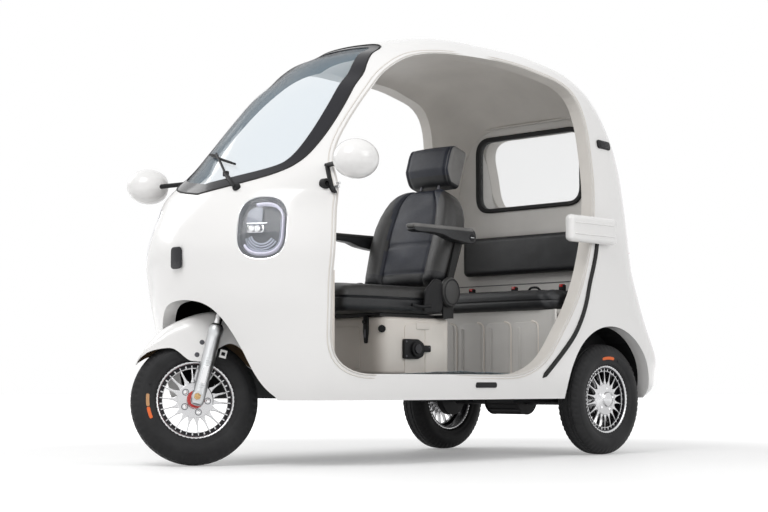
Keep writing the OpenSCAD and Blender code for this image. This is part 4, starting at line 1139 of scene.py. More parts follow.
def build_windscreen():
    outer = resample(screen_outline(), 220)
    centre = (0, 1330)
    tangent = np.roll(outer, -2, 0) - np.roll(outer, 2, 0)
    tangent /= np.linalg.norm(tangent, axis=1)[:, None]
    normal = np.stack([-tangent[:, 1], tangent[:, 0]], 1)
    inward = normal * np.sign(((np.array(centre) - outer) * normal).sum(1))[:, None]
    slope = np.interp(outer[:, 1], [1000, 1300, 1626], [1.0, 0.95, 0.42])
    inner = outer + inward * SCREEN_BORDER * np.stack([np.ones(len(outer)), slope], 1)
    border = skin_grid("border", outer, centre, 0.6, GLOSS_BLACK, 6, inner)
    mod = border.modifiers.new("thick", "SOLIDIFY")
    mod.thickness = 0.012
    apply_modifiers(border)
    lip = []
    for k in range(0, len(outer), 4):
        q = outer[k] + inward[k] * 2
        lip.append((q[0], float(skin_front(q[0], q[1])) - 1, q[1]))
    lip.append(lip[0])
    seal = tube("seal", lip, 3.2, 8, RUBBER, rows=3)
    settle(join("screen_border", [border, seal]), None, "chassis", None, slot="black_plastic", angle=40, replaces=["screen_surround"])
    pane = skin_grid("windscreen_pane", inner + inward * -6, centre, -6.5, SCREEN_GLASS, 26)
    mod = pane.modifiers.new("thick", "SOLIDIFY")
    mod.thickness = 0.005
    apply_modifiers(pane)
    settle(pane, None, "chassis", None, slot="clear_glass", angle=60, replaces=["windscreen"])


build_windscreen()


def build_mirrors():
    profile = [(-88, 0.0)]
    profile += [(-88 * math.cos(a), math.sin(a)) for a in np.linspace(0.06, 2.26, 30)]
    profile += [(57.5, 0.75), (57.5, 0.72), (54, 0.71), (54, 0.0)]
    egg = lathe("egg", [(x, max(0.0001, r) * 100) for x, r in profile], 72, closed=False)
    sizes = Matrix(((0, 0.78, 0, 0), (1, 0, 0, 0), (0, 0, 0.71, 0), (0, 0, 0, 1)))
    egg.data.transform(sizes)
    egg.data.flip_normals()
    fix_normals(egg)
    egg.data.materials.append(WHITE)
    egg.data.materials.append(RUBBER)
    egg.data.materials.append(CHROME)
    for f in egg.data.polygons:
        c = f.center / MM
        if c.y > 53 and math.hypot(c.x / 78, c.z / 71) < 0.735:
            f.material_index = 2 if c.y < 55 else 1
        elif c.y > 55.5:
            f.material_index = 1
    place = Matrix.Translation(Vector((598, -797, 1083)) * MM) @ Matrix.Rotation(math.radians(8), 4, "Z")
    egg.data.transform(place)
    both_sides("mirror_heads", egg, "chassis", slot="body_white", angle=50, replaces=["mirrors"])
    sx = lambda y, z: float(skin_x(y, z))
    tip, foot, ring = (-738, 1088), (-779, 985), (-798, 1008)
    parts = []
    outline = fillet([(-748, 1092), (-736, 1090), (-768, 990), (-768, 974), (-788, 974), (-790, 992)], 5, 5)
    lean = (sx(*tip) - sx(*foot)) / (tip[1] - foot[1])
    x0 = sx(*foot) - 2
    wedge = prism("wedge", outline, lambda u, v, w: (x0 + (v - foot[1]) * lean + w, u, v), 0, 12)
    bright_edges(wedge, 2.0, BLACK)
    parts.append(wedge)
    clamp = lathe("ring", [(0, 10), (0, 17), (2, 18.5), (22, 18.5), (24, 17), (24, 10)], 40)
    clamp.data.transform(Matrix.Translation(Vector((sx(*ring) - 4, ring[0], ring[1])) * MM))
    parts.append(with_material(clamp, BLACK))
    boss = block("boss", (sx(*ring) - 2, -796, 994), (sx(*ring) + 16, -774, 1014), 3, BLACK)
    parts.append(boss)
    stud = bar("stud", (sx(*foot) - 6, -764, 998), (sx(*foot) + 20, -764, 998), 6, 6, SILVER)
    stud2 = bar("stud2", (sx(*foot) - 10, -752, 1012), (sx(*foot) + 12, -752, 1012), 4.5, 20, SILVER)
    parts += [stud, stud2]
    arm = tube("arm", [(sx(*tip) - 2, -740, 1082), (sx(*tip) + 16, -744, 1084), (450, -764, 1082), (510, -788, 1079), (552, -803, 1077)], 9, 14, BLACK)
    parts.append(arm)
    both_sides("mirror_stays", join("mirror_stay", parts), "chassis", slot="black_plastic", replaces=["mirror_brackets"])


def bright_edges(obj, width, mat):
    mod = obj.modifiers.new("round", "BEVEL")
    mod.width, mod.segments, mod.limit_method, mod.angle_limit = width * MM, 3, "ANGLE", math.radians(40)
    apply_modifiers(obj)
    return with_material(obj, mat)


build_mirrors()


def nose_point(x, z, lift):
    return (x, float(skin_front(x, z)) - lift, z)


def build_wiper():
    root, knee = (182, 1001), (-52, 1154)
    mid = (root[0] * 0.62 + knee[0] * 0.38, root[1] * 0.62 + knee[1] * 0.38)
    parts = [bar("knob", nose_point(*root, -4), nose_point(*root, 16), 13, 32, BLACK),
             tube("arm_low", [nose_point(*root, 12), nose_point(150, 1024, 16), nose_point(*mid, 16)], 8, 12, BLACK),
             tube("arm_high", [nose_point(*mid, 16), nose_point(30, 1104, 17), nose_point(*knee, 13)], 4.6, 12, BLACK)]
    blade = [nose_point(x, z, 7) for x, z in ((-124, 1160), (-70, 1146), (-16, 1130), (40, 1114), (93, 1099))]
    parts.append(tube("blade", blade, 4.2, 10, RUBBER))
    frame_bar = [nose_point(x, z, 12) for x, z in ((-104, 1159), (-60, 1151), (0, 1129), (74, 1107))]
    parts.append(tube("bow", frame_bar, 3.0, 10, BLACK))
    parts.append(block("hinge", (mid[0] - 11, nose_point(*mid, 22)[1], mid[1] - 10), (mid[0] + 11, nose_point(*mid, 6)[1], mid[1] + 10), 4, BLACK))
    settle(join("wiper_set", parts), None, "chassis", None, slot="black_plastic", replaces=["wiper"])


build_wiper()


def skin_strip(name, path, half, thick, mat, steps=10, lift=0.0, rows=6):
    """A rounded strip laid on the side of the body along (y, z) points."""
    pts = spline_rows(path, rows)
    t = np.gradient(pts, axis=0)
    t /= np.linalg.norm(t, axis=1)[:, None]
    nrm = np.stack([-t[:, 1], t[:, 0]], 1)
    verts, n = [], steps + 1
    ends = np.minimum(np.arange(len(pts)), np.arange(len(pts))[::-1]) * np.linalg.norm(pts[1] - pts[0])
    for i, p in enumerate(pts):
        w = half * math.sqrt(max(0.02, 1 - max(0, 1 - ends[i] / half) ** 2))
        for k in range(n):
            a = math.pi * k / steps
            q = p + nrm[i] * w * math.cos(a)
            out = thick * (min(1, math.sin(a) * 1.8)) * (w / half) ** 0.5
            verts.append((float(skin_x(q[0], q[1])) + out + lift - 1.0, q[0], q[1]))
    faces = [(i * n + k, i * n + k + 1, (i + 1) * n + k + 1, (i + 1) * n + k) for i in range(len(pts) - 1) for k in range(steps)]
    obj = new_object(name, np.array(verts) * MM, faces)
    fix_normals(obj)
    return with_material(obj, mat)


STRIP = [(680, 890), (661, 820), (622, 718), (592, 622), (553, 545), (499, 476), (402, 390), (318, 318)]


def build_side_trims():
    strip = skin_strip("strip", STRIP, 10.5, 7, RUBBER)
    vent = plate("vent", squircle(98, 36, 12, 6), 9, BLACK, 2.5)
    lean_y = float(skin_x(832, 1306) - skin_x(752, 1306)) / 80
    lean_z = float(skin_x(792, 1326) - skin_x(792, 1286)) / 40
    vent_place = frame_matrix((float(skin_x(792, 1306)) - 3, 792, 1306), (1, -lean_y, -lean_z), (0, 1, 0))
    vent.data.transform(vent_place)
    slots = []
    for k in range(4):
        slot = block("louvre", (-36, -12 + 7 * k, 7), (36, -9 + 7 * k, 10.5), 0.8, GLOSS_BLACK)
        slot.data.transform(vent_place)
        slots.append(slot)
    sill = plate("sill_slot", squircle(120, 21, 9, 6), 5, BLACK, 1.5)
    sill.data.transform(Matrix.Translation(Vector((float(skin_x(-16, 290)) - 1.5, -16, 290)) * MM)
                        @ Matrix.Rotation(math.pi / 2, 4, "Y") @ Matrix.Rotation(math.pi / 2, 4, "Z"))
    both_sides("side_trim_set", join("side_trims", [strip, vent, sill] + slots), "chassis", slot="rubber_black", replaces=["quarter_trims"])
    bars = []
    base = soft_box("latch", (524, 452, 872), (567, 764, 984), 21, 30, None)
    bars.append(with_material(base, WHITE))
    for z in (905, 951):
        ridge = tube("ridge", [(566, 478, z), (567.5, 490, z), (567.5, 640, z), (566.5, 735, z)], 3.4, 12, WHITE, rows=4)
        bars.append(ridge)
    both_sides("latch_bars", join("latch_bar", bars), "chassis", slot="body_white", replaces=["latch_covers"])
    plaque = plate("plaque", squircle(60, 80, 17, 7), 5, GLOSS_BLACK, 1.5)
    plaque.data.transform(Matrix.Translation(Vector((0, float(skin_front(0, 748)) - 2.5, 748)) * MM) @ Matrix.Rotation(math.pi / 2, 4, "X"))
    settle(plaque, None, "chassis", None, slot="black_plastic")


def soft_box(name, lo, hi, radius, count, shaper=None):
    """A box with well rounded edges and an even grid, given a further form by a shaper of (points, -1..1 places)."""
    t = np.linspace(-1, 1, count + 1)
    t = np.sign(t) * (1 - (1 - np.abs(t)) ** 1.5)
    verts, faces = [], []
    for axis in range(3):
        for sign in (-1, 1):
            start = len(verts)
            for a in t:
                for b in t:
                    p = [0, 0, 0]
                    p[axis], p[(axis + 1) % 3], p[(axis + 2) % 3] = sign, a, b
                    verts.append(p)
            n = count + 1
            for i in range(count):
                for j in range(count):
                    q = (start + i * n + j, start + (i + 1) * n + j, start + (i + 1) * n + j + 1, start + i * n + j + 1)
                    faces.append(q if sign > 0 else q[::-1])
    unit = np.array(verts, float)
    lo, hi = np.array(lo, float), np.array(hi, float)
    centre, half = (lo + hi) / 2, (hi - lo) / 2
    r = np.minimum(radius, half * 0.999)
    q = unit * half
    core = np.clip(q, -(half - r), half - r)
    d = (q - core) / r
    length = np.linalg.norm(d, axis=1)[:, None]
    q = np.where(length > 1e-9, core + r * d / np.maximum(length, 1e-9), q)
    pts = q + centre
    if shaper is not None:
        pts = shaper(pts, q / half)
    obj = new_object(name, pts * MM, faces)
    bm = bmesh.new()
    bm.from_mesh(obj.data)
    bmesh.ops.remove_doubles(bm, verts=bm.verts, dist=2e-6)
    bmesh.ops.recalc_face_normals(bm, faces=bm.faces)
    bm.to_mesh(obj.data)
    bm.free()
    obj.data.shade_smooth()
    return obj


build_side_trims()


# Seats, cabin panels and underbody
GREY_LEATHER = leather("grey_leather", (0.022, 0.0215, 0.021), 0.4)
PALE_GREY = leather("pale_grey_leather", (0.11, 0.108, 0.105), 0.42)
PANEL = moulded("cabin_panel", (0.88, 0.82, 0.755), 0.5, 500.0, 0.08)
PANEL_GREY = moulded("bench_panel", (0.72, 0.70, 0.67), 0.5, 500.0, 0.08)
FLOOR_GREY = moulded("floor_rubber", (0.075, 0.078, 0.082), 0.7, 260.0, 0.5)
FILM = glass("floor_film", (0.35, 0.62, 0.72), 0.55, 0.18)
AXLE_BLACK = moulded("axle_paint", (0.02, 0.02, 0.022), 0.48, 120.0, 0.3)
WINDOW = glass("rear_glass", (0.72, 0.76, 0.78), 0.12, 0.04)
TAIL_RED = glass("tail_lens", (0.5, 0.012, 0.012), 0.9, 0.12)
SEAT_PLACE = Matrix.Translation(Vector((0, 70, 672)) * MM) @ Matrix.Rotation(math.radians(-17), 4, "X")
ARM_Y, ARM_Z = 159.612, 883.021
cad = bpy.data.objects


def tint(obj, mats, pick):
    for m in mats:
        obj.data.materials.append(m)
    for f in obj.data.polygons:
        f.material_index = pick(*(f.center / MM))
    return obj


def dent(at, width):
    """Depth, 0 to 1, of a sewn seam at a distance from its line."""
    return np.exp(-(at / width) ** 2)


def creases(p, size, seed):
    """Soft uneven folds of stretched leather, in millimetres."""
    a = np.sin(p[:, 0] / 31 + seed + 1.3 * np.sin(p[:, 2] / 47 + seed)) * np.sin(p[:, 2] / 23 + 2 * seed)
    b = np.sin(p[:, 1] / 29 + 0.7 * seed + 1.1 * np.sin(p[:, 0] / 53))
    return size * (0.6 * a + 0.4 * b)


def pad_cushion(p, u):
    q = p.copy()
    top = u[:, 2] > 0.999
    up = np.clip((u[:, 2] + 0.2) / 1.2, 0, 1)
    q[:, 2] -= up * (13 * np.abs(u[:, 0]) ** 3 + 11 * np.clip((-u[:, 1] - 0.45) / 0.55, 0, 1) ** 2)
    q[:, 2] -= up * (5.5 * dent(np.abs(p[:, 0]) - 132, 7) + 4.5 * np.where(np.abs(p[:, 0]) < 132, dent((p[:, 1] + 20) % 96 - 48, 8), 0))
    q[:, 2] += up * np.where(np.abs(p[:, 0]) < 132, 3.5 * np.cos(p[:, 0] / 132 * math.pi / 2), 0)
    side = 1 - np.abs(u[:, 2])
    q[:, 0] += np.sign(u[:, 0]) * np.where(np.abs(u[:, 0]) > 0.9, 6 * side - 7 * dent(p[:, 2] - 628, 5) + creases(p, 1.6, 1.0), 0)
    q[:, 1] += np.sign(u[:, 1]) * np.where(np.abs(u[:, 1]) > 0.9, 5 * side - 6 * dent(p[:, 2] - 628, 5), 0)
    return q


def pad_back(p, u):
    q = p.copy()
    wide = np.interp(p[:, 2], [14, 60, 200, 270, 320, 360, 392, 418, 444], [212, 221, 230, 225, 213, 196, 174, 144, 104]) / 230
    q[:, 0] *= wide
    x = np.abs(p[:, 0])
    front = np.clip(-u[:, 1], 0, 1)
    edge = np.clip(1 - ((x - 182) / 56) ** 2, 0, 1)
    q[:, 1] -= front * (15 * edge * np.clip((425 - p[:, 2]) / 160, 0, 1) - 7 * (x < 128))
    q[:, 1] += front * (7 * dent(x - 128, 7) + 5 * np.where(x < 128, dent(p[:, 2] - 190, 6) + dent(p[:, 2] - 66, 7), 0))
    q[:, 1] -= front * np.where(x < 128, 6 * np.cos(x / 128 * math.pi / 2) * np.clip(1 - np.abs((p[:, 2] - 190) / 210) ** 4, 0, 1), 0)
    q[:, 1] += front * (creases(p, 1.3, 2.0) + 14 * np.clip((p[:, 2] - 375) / 69, 0, 1) ** 2)
    back = np.clip(u[:, 1], 0, 1)
    q[:, 1] += back * (-8 + 9 * np.cos(np.clip(u[:, 0], -1, 1) * math.pi / 2) - 12 * np.clip((p[:, 2] - 350) / 94, 0, 1) ** 2)
    return q


def pad_head(p, u):
    q = p.copy()
    low = np.clip((-u[:, 2] - 0.25) / 0.75, 0, 1)
    front = np.clip((1 - u[:, 1]) / 2, 0, 1)
    q[:, 1] += low ** 1.4 * front * 44
    q[:, 1] += np.clip((u[:, 2] - 0.4) / 0.6, 0, 1) ** 2 * front * 12
    q[:, 1] -= np.clip(-u[:, 1], 0, 1) * (5 * np.cos(u[:, 0] * math.pi / 2) + 3 * np.abs(u[:, 0]) ** 6)
    q[:, 0] *= 1 - 0.05 * low
    q[:, 1] += np.clip(-u[:, 1], 0, 1) * 5 * dent(np.abs(p[:, 0]) - 106, 6)
    q[:, 2] += creases(p, 0.9, 3.0)
    return q


def build_driver_seat():
    cushion = soft_box("cushion", (-229, -505, 569), (229, 33, 686), 30, 64, pad_cushion)
    tint(cushion, [LEATHER, GREY_LEATHER], lambda x, y, z: 1 if z > 632 and abs(x) > 134 else 0)
    settle(cushion, None, "chassis", None, slot="leather_black", angle=60, replaces=["seat_cushion"])
    welts = []
    for side in (-1, 1):
        line = [(side * 224, -470, 629), (side * 228, -300, 629), (side * 229, -100, 629), (side * 226, 10, 629)]
        welts.append(tube("welt", line, 2.6, 8, LEATHER, rows=6))
    settle(join("cushion_welts", welts), None, "chassis", None, slot="leather_black")
    back = soft_box("back_pad", (-230, -46, 14), (230, 60, 444), 34, 64, pad_back)
    tint(back, [GREY_LEATHER, LEATHER_BLUE, LEATHER],
         lambda x, y, z: 2 if z < 66 else 1 if abs(x) < 128 and y < 10 else 0)
    settle(back, SEAT_PLACE, "backrest", None, slot="leather_black", angle=60, replaces=["seat_back"])
    head = soft_box("head_pad", (-127, -34, 469), (127, 64, 638), 19, 44, pad_head)
    tint(head, [LEATHER_BLUE, PALE_GREY, LEATHER], lambda x, y, z: 1 if abs(x) > 121 else 0 if y < 30 and z > 505 else 2)
    settle(head, SEAT_PLACE, "backrest", None, slot="leather_black", angle=60, replaces=["headrest"])
    posts = []
    for x in (-50, 50):
        posts += [bar("post", (x, 12, 412), (x, 14, 486), 6, 24, DARK_METAL), bar("collar", (x, 12, 430), (x, 12, 453), 11, 24, BLACK)]
    settle(join("head_posts", posts), SEAT_PLACE, "backrest", None, slot="silver_paint")


def arm_outline():
    top = [(-336, 12), (-326, 30), (-300, 36), (-160, 38), (0, 36), (18, 30), (26, 14)]
    under = [(25, -12), (10, -24), (-14, -24), (-60, -20), (-120, -12), (-165, 2), (-230, 8), (-310, 6)]
    return fillet(top + under, 9, 5)


def build_armrest(side):
    x0 = side * (230 + 8.6)
    outline = arm_outline()
    body = prism("arm", outline, lambda u, v, w: (x0 + side * w, ARM_Y + u, ARM_Z + v), 3, 49)
    bright_edges(body, 6, LEATHER)
    strip = soft_box("arm_top", (min(x0 + side * 1, x0 + side * 51), ARM_Y - 338, ARM_Z + 22), (max(x0 + side * 1, x0 + side * 51), ARM_Y + 12, ARM_Z + 39), 8, 20)
    # Painted light: the left armrest's top strip, on the near side, takes the paler grey leather as a painted
    # highlight, and the far right armrest's strip takes the darker grey leather as painted shade
    with_material(strip, PALE_GREY if side > 0 else GREY_LEATHER)
    cap = bar("cap", (x0 + side * 46, ARM_Y, ARM_Z), (x0 + side * 51, ARM_Y, ARM_Z), 15, 40, BLACK)
    slot_line = block("cut", (min(x0 + side * 50, x0 + side * 52), ARM_Y - 10, ARM_Z - 1.6), (max(x0 + side * 50, x0 + side * 52), ARM_Y + 10, ARM_Z + 1.6), 0.6, SILVER)
    name, body_name = ("armrest_left", "arm_left") if side > 0 else ("armrest_right", "arm_right")
    arm = settle(join(name + "_pad", [body, strip, cap, slot_line]), None, body_name, None, slot="leather_black", replaces=[name])


def build_seat_hardware():
    side_parts = []
    disc = lathe("disc", [(0, 0.1), (0, 58), (4, 60), (14, 60), (20, 56), (24, 44), (26, 20), (26.5, 0.1)], 72, closed=False)
    disc.data.transform(Matrix.Translation(Vector((248.2, 58, 660)) * MM) @ Matrix.Diagonal((1, 0.86, 1, 1)))
    side_parts.append(with_material(disc, GREY_LEATHER))
    ring = lathe("ring", [(0, 50), (2.5, 52), (2.5, 47), (0, 45)], 72)
    ring.data.transform(Matrix.Translation(Vector((270, 58, 660)) * MM) @ Matrix.Diagonal((1, 0.86, 1, 1)))
    side_parts.append(with_material(ring, BLACK))
    fold = prism("fold", fillet([(-96, 578), (-84, 664), (-30, 712), (10, 704), (14, 600), (0, 574)], 12, 5), lambda u, v, w: (w, u, v), 249, 262)
    side_parts.append(bright_edges(fold, 4, BLACK))
    lever = tube("lever", [(262, -60, 600), (266, -120, 596), (264, -168, 602)], 6.5, 14, BLACK)
    side_parts.append(lever)
    both_sides("recliner_set", join("recliner", side_parts), "chassis", slot="black_plastic", replaces=["recliner_covers"])


def build_seat_box():
    outline = fillet([(-215, -280), (-215, 105), (215, 105), (215, -280)], [66, 30, 30, 66], 12)
    shell = prism("box", outline, lambda u, v, w: (u, v, w), 330.4, 556)
    mod = shell.modifiers.new("round", "BEVEL")
    mod.width, mod.segments, mod.limit_method, mod.angle_limit = 16 * MM, 5, "ANGLE", math.radians(60)
    apply_modifiers(shell)
    parts = [with_material(shell, PANEL)]
    for side in (-1, 1):
        out = side * 215
        for y0, y1, z1 in ((-160, -68, 532), (-44, 66, 536)):
            rib = prism("rib", fillet([(y0, 336), (y0, z1), (y1, z1), (y1, 336)], [2, 24, 24, 2], 6), lambda u, v, w: (out + side * w, u, v), -2, 3.2)
            parts.append(bright_edges(rib, 2.4, PANEL))
        pill = soft_box("pill", (min(out, out + side * 7), -98, 508), (max(out, out + side * 7), -20, 536), 6, 12)
        parts.append(with_material(pill, PANEL))
        plate_black = prism("port", fillet([(-172, 392), (-172, 470), (-92, 470), (-66, 456), (-50, 434), (-66, 402), (-92, 392)], 6, 4),
                            lambda u, v, w: (out + side * w, u, v), 0, 14)
        parts.append(bright_edges(plate_black, 3, BLACK))
        parts.append(bar("port_nose", (out + side * 8, -108, 431), (out + side * 25, -108, 431), 30, 40, BLACK))
        parts.append(bar("port_cap", (out + side * 20, -108, 431), (out + side * 30, -108, 431), 19, 32, GLOSS_BLACK))
        parts.append(block("port_hinge", (min(out, out + side * 16), -62, 420), (max(out, out + side * 16), -22, 446), 5, BLACK))
        for y, z in ((-162, 402), (-162, 460), (-34, 438)):
            parts.append(bar("port_screw", (out + side * 12, y, z), (out + side * 16.5, y, z), 4.5, 16, DARK_METAL))
        corner = Vector((side * 191, -258, 508))
        aim = Vector((side * 0.64, -0.77, 0))
        parts.append(bar("corner_knob", corner, corner + aim * 22, 15, 10, BLACK))
        parts.append(bar("corner_stem", corner - aim * 8, corner + aim * 12, 8, 20, BLACK))
    for x in (126, -126):
        latch = prism("latch_plate", fillet([(x - 8, 452), (x - 14, 500), (x - 12, 562), (x + 12, 562), (x + 14, 500), (x + 8, 452)], 5, 4),
                      lambda u, v, w: (u, -280 - w, v), -1, 7)
        parts.append(bright_edges(latch, 2, BLACK))
        parts.append(block("latch_slot", (x - 4, -289, 474), (x + 4, -286, 506), 1, DARK_METAL))
        parts.append(bar("latch_knob", (x, -286, 536), (x, -298, 536), 8, 24, BLACK))
    front = prism("front_panel", fillet([(-90, 352), (-90, 520), (90, 520), (90, 352)], 22, 6), lambda u, v, w: (u, -280 - w, v), -1, 3)
    parts.append(bright_edges(front, 2.4, PANEL))
    settle(join("seat_box_shell", parts), None, "chassis", None, slot="liner_cream", replaces=["seat_box"])


def pad_bench(p, u):
    q = p.copy()
    up = np.clip((u[:, 2] + 0.3) / 1.3, 0, 1)
    x = np.abs(p[:, 0])
    q[:, 2] -= up * (8 * np.abs(u[:, 0]) ** 4 + 7 * np.clip((-u[:, 1] - 0.5) / 0.5, 0, 1) ** 2)
    q[:, 2] -= up * (4.5 * dent(x - 150, 8) + 3.5 * dent(p[:, 1] - 560, 8))
    q[:, 2] += up * np.clip((x - 330) / 90, 0, 1) * 3.5 * np.sin(p[:, 0] / 9 + p[:, 1] / 26)
    front = np.clip(-u[:, 1], 0, 1)
    q[:, 1] += front * (4 * dent(p[:, 2] - 640, 5) + np.clip((x - 330) / 90, 0, 1) * 3 * np.sin(p[:, 0] / 8 + p[:, 2] / 14) - 3 * (1 - np.abs(u[:, 2])))
    q[:, 1] += front * np.clip((x - 352) / 86, 0, 1) ** 2 * 34
    return q


def pad_rest(p, u):
    q = p.copy()
    front = np.clip(-u[:, 1], 0, 1)
    q[:, 1] -= front * (7 * np.cos(u[:, 0] * math.pi / 2) * np.cos(u[:, 2] * math.pi / 2) - 4 * dent(np.abs(p[:, 0]) - 120, 7))
    q[:, 1] += front * creases(p, 0.8, 4.0)
    return q


def build_bench():
    cushion = soft_box("bench_pad", (-438, 477, 600.5), (438, 858, 689), 30, 62, pad_bench)
    tint(cushion, [LEATHER, LEATHER_BLUE], lambda x, y, z: 1 if abs(x) < 370 and y > 560 and z > 650 else 0)
    settle(cushion, None, "chassis", None, slot="leather_black", angle=60, replaces=["bench_cushion"])
    rest = soft_box("bench_rest", (-360, 812, 782), (360, 861, 956), 24, 40, pad_rest)
    settle(with_material(rest, LEATHER), None, "chassis", None, slot="leather_black", angle=60, replaces=["bench_back"])
    parts = []
    for x in (-270, -112, 44, 196, 345):
        line = [(x, 505, 336), (x, 505, 450), (x, 505, 520), (x - 9, 505, 546), (x - 36, 505, 556)]
        parts.append(tube("bead", line, 4.2, 10, PANEL, rows=5))
    for k, x in enumerate((-191, -34, 120, 270)):
        panel = prism("panel", fillet([(x - 62, 340), (x - 62, 552), (x + 62, 552), (x + 62, 340)], [4, 26, 26, 4], 7), lambda u, v, w: (u, 505 - w, v), -2, 2.2)
        parts.append(bright_edges(panel, 1.8, PANEL_GREY))
    for side in (-1, 1):
        outline = [(348, 503), (400, 500), (436, 488), (462, 468), (468, 474), (441, 496), (402, 509), (348, 511)]
        wing = prism("wing", [(side * x, y) for x, y in outline], lambda u, v, w: (u, v, w), 331, 600)
        parts.append(with_material(wing, PANEL_GREY))
    settle(join("bench_beads", parts), None, "chassis", None, slot="liner_cream")
    belts = []
    for x, c in ((-282, RED), (-30, RED), (240, RED)):
        belts.append(block("buckle", (x - 14, 786, 690), (x + 14, 806, 722), 4, BLACK))
        belts.append(block("button", (x - 9, 784, 712), (x + 9, 804, 725), 2, c))
    belts.append(block("strap", (60, 770, 690), (150, 812, 696), 2.5, BLACK))
    belts.append(tube("loop", [(70, 768, 694), (90, 764, 712), (126, 764, 712), (146, 768, 694)], 5, 12, BLACK))
    settle(join("bench_belts", belts), None, "chassis", None, slot="black_plastic")


def build_cabin():
    # Seam lines and ribs of the rear wall and headliner
    parts = [block("wall_seam", (-440, 858.5, 738), (440, 861.8, 741), 1, DARK_METAL)]
    for k, (z, t) in enumerate(((1452, 9), (1484, 9), (1516, 9))):
        width = float(skin_x(840, z)) - 80
        parts.append(block("liner_rib", (-width, 850, z), (width, 861.8, z + t), 3.4, LINER_GREY))
    for x in (-452, 452):
        for z in (700, 1010, 1300):
            parts.append(bar("wall_screw", (x * 0.9, 861.9, z), (x * 0.9, 858, z), 5, 20, DARK_METAL))
    settle(join("rear_wall_details", parts), None, "chassis", None, slot="liner_cream")
    w, z0, z1, r = REAR_GLASS
    outer, inner = squircle(w + 14, z1 - z0 + 14, r + 7, 10), squircle(w - 26, z1 - z0 - 26, r - 13, 10)
    mid = (z0 + z1) / 2
    n = len(outer)
    verts, faces = [], []
    rows = [(outer, 861.5), (outer, 855), (squircle(w + 4, z1 - z0 + 4, r + 2, 10), 851), (inner, 856), (inner, 884)]
    for ring_pts, y in rows:
        verts += [(u, y, v + mid) for u, v in ring_pts]
    for k in range(len(rows) - 1):
        faces += [(k * n + i, k * n + (i + 1) % n, (k + 1) * n + (i + 1) % n, (k + 1) * n + i) for i in range(n)]
    faces += [((len(rows) - 1) * n + i, (len(rows) - 1) * n + (i + 1) % n, (i + 1) % n, i) for i in range(n)]
    seal = new_object("seal", np.array(verts) * MM, faces)
    fix_normals(seal)
    settle(with_material(seal, RUBBER), None, "chassis", None, slot="rubber_black", replaces=["rear_window_seal"])
    pane = prism("pane", squircle(w - 24, z1 - z0 - 24, r - 12, 12), lambda u, v, q: (u, q, v + mid), 868, 873)
    settle(with_material(pane, WINDOW), None, "chassis", None, slot="clear_glass", replaces=["rear_window"])
    film_pts = spline_rows([(478, -330, 333), (440, -250, 337), (445, -100, 341), (430, 60, 338), (452, 210, 333)], 8)
    verts = []
    for i, p in enumerate(film_pts):
        for k in range(7):
            x = p[0] - 22 * k
            verts.append((x, p[1] + 6 * math.sin(k * 1.3 + i * 0.3), 331.2 + (p[2] - 331) * (1 - k / 6) + 2.2 * (1 + math.sin(i * 0.8 + k * 0.9)) / 2))
    faces = [(i * 7 + k, i * 7 + k + 1, (i + 1) * 7 + k + 1, (i + 1) * 7 + k) for i in range(len(film_pts) - 1) for k in range(6)]
    film = new_object("film", np.array(verts) * MM, faces)
    mod = film.modifiers.new("thick", "SOLIDIFY")
    mod.thickness = 0.6 * MM
    apply_modifiers(film)
    settle(with_material(film, FILM), None, "chassis", None, slot="clear_glass")


def build_door_trim():
    """A thin double line that frames each door opening on the outer skin."""
    outline = np.array(door_outline())
    centre = outline.mean(axis=0)
    for name, grow, radius, mat in (("door_line_outer", 15, 2.4, CREAM), ("door_line_inner", 4, 3.2, LINER_GREY)):
        nxt, prv = np.roll(outline, -1, axis=0), np.roll(outline, 1, axis=0)
        t = nxt - prv
        t /= np.linalg.norm(t, axis=1)[:, None]
        nrm = np.stack([t[:, 1], -t[:, 0]], 1)
        if ((outline + nrm - centre) ** 2).sum() < ((outline - centre) ** 2).sum():
            nrm = -nrm
        line = outline + nrm * grow
        pts = [(float(skin_x(y, z)) + 0.4, y, z) for y, z in line]
        pts.append(pts[0])
        body = tube(name, pts, radius, 8, mat, rows=1)
        both_sides(name + "s", body, "chassis", slot="body_white")


def build_rear_details():
    # Tail lamps
    for_lamp = []
    x, z = 405, 800
    place = Matrix.Translation(Vector((x, float(skin_rear(x, z)), z)) * MM) @ Matrix.Rotation(math.radians(-32), 4, "Z") @ Matrix.Rotation(math.radians(-90), 4, "X")
    lens = soft_box("lens", (-36, -96, -24), (36, 96, 9), 8, 26, lambda p, u: np.stack([p[:, 0] * np.sqrt(np.clip(1 - (np.clip(np.abs(p[:, 1]) - 58, 0, 38) / 38) ** 2, 0.0004, 1)), p[:, 1], p[:, 2] - 5 * u[:, 0] ** 2 * (u[:, 2] > 0.5)], 1))
    with_material(lens, TAIL_RED)
    for_lamp.append(lens)
    for k in range(5):
        for_lamp.append(block("rib", (-30, -62 + 30 * k, 6), (30, -58 + 30 * k, 9.6), 1, BRONZE if k == 4 else TAIL_RED))
    rim_line = [(37 * math.cos(a), (60 if math.sin(a) > 0 else -60) + 37 * math.sin(a), 1) for a in np.linspace(0, 2 * math.pi, 40, endpoint=False)]
    for_lamp.append(tube("rim", rim_line + [rim_line[0]], 3, 8, BLACK, rows=1))
    lamp = join("tail_lamp", for_lamp)
    lamp.data.transform(place)
    both_sides("tail_lamp_set", lamp, "chassis", slot="lamp_red", replaces=["tail_lamps"])


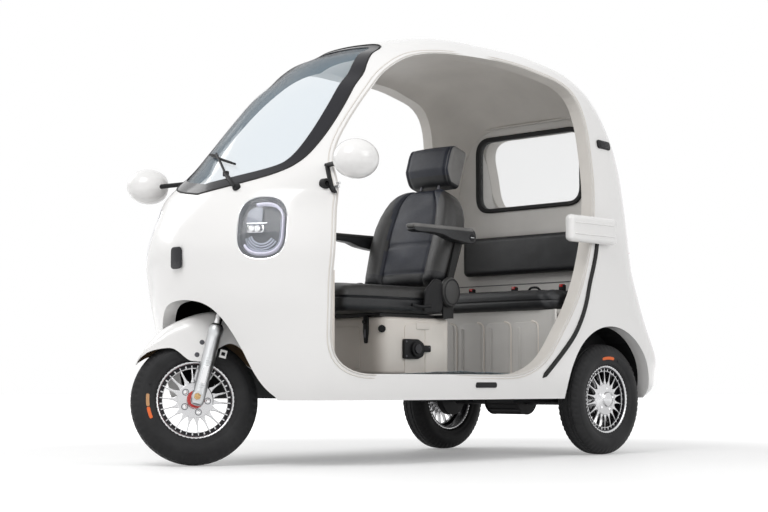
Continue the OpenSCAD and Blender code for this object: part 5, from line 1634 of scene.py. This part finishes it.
def build_underbody():
    coils = []
    for side in (-1, 1):
        z0, z1, turns = 262, 334, 5
        helix = [(side * 250 + 31 * math.cos(a), REAR_AXLE_Y + 31 * math.sin(a), z0 + (z1 - z0) * a / (2 * math.pi * turns))
                 for a in np.linspace(0, 2 * math.pi * turns, 24 * turns)]
        coils.append(tube("coil", helix, 4.2, 8, RED, rows=1))
    settle(join("spring_coils", coils), None, "chassis", None, slot="silver_paint")
    extra = [bar("motor_rim", (-136, REAR_AXLE_Y, 230), (-128, REAR_AXLE_Y, 230), 70, 48, AXLE_BLACK),
             bar("motor_rim2", (48, REAR_AXLE_Y, 230), (56, REAR_AXLE_Y, 230), 70, 48, AXLE_BLACK)]
    for k in range(16):
        a = 2 * math.pi * k / 16
        y, z = REAR_AXLE_Y + 66 * math.cos(a), 230 + 66 * math.sin(a)
        extra.append(bar("fin", (-128, y, z), (48, y, z), 3, 8, AXLE_BLACK))
    extra.append(tube("motor_lead", [(-40, REAR_AXLE_Y - 60, 262), (-40, 660, 290), (-60, 560, 300), (-90, 470, 296)], 7, 12, ORANGE))
    settle(join("motor_details", extra), None, "chassis", None, slot="black_plastic")
    # Brackets under the floor
    under = [block("bracket_front", (392, -470, 250), (404, -300, 300), 3, FRAME_BLACK), block("bracket_foot", (330, -440, 244), (404, -330, 252), 3, FRAME_BLACK)]
    both_sides("floor_brackets", join("floor_bracket", under), "chassis", slot="frame_black")


def dress_cad():
    """Finishes of the construction's own solids that stay in view."""
    looks = {"floor_pan": FLOOR_GREY, "chassis_frame": FRAME_BLACK, "wheel_well": BLACK, "wheel_houses": BLACK, "tunnel_cover": PANEL,
             "knee_panel": PANEL, "dash_shelf": PANEL, "column_cover": BLACK, "rear_bulkhead": PANEL_GREY, "battery": BLACK,
             "seat_base": FRAME_BLACK, "back_frame": FRAME_BLACK, "bench_box": PANEL_GREY, "handlebar": RUBBER, "rear_axle": AXLE_BLACK,
             "rear_shocks": SILVER}
    for name, mat in looks.items():
        obj = cad[name]
        if not obj.material_slots:
            obj.data.materials.append(mat)
        for s in obj.material_slots:
            s.material = mat


build_driver_seat()
build_armrest(1)
build_armrest(-1)
build_seat_hardware()
build_seat_box()
build_bench()
build_cabin()
build_door_trim()
build_rear_details()
build_underbody()
dress_cad()
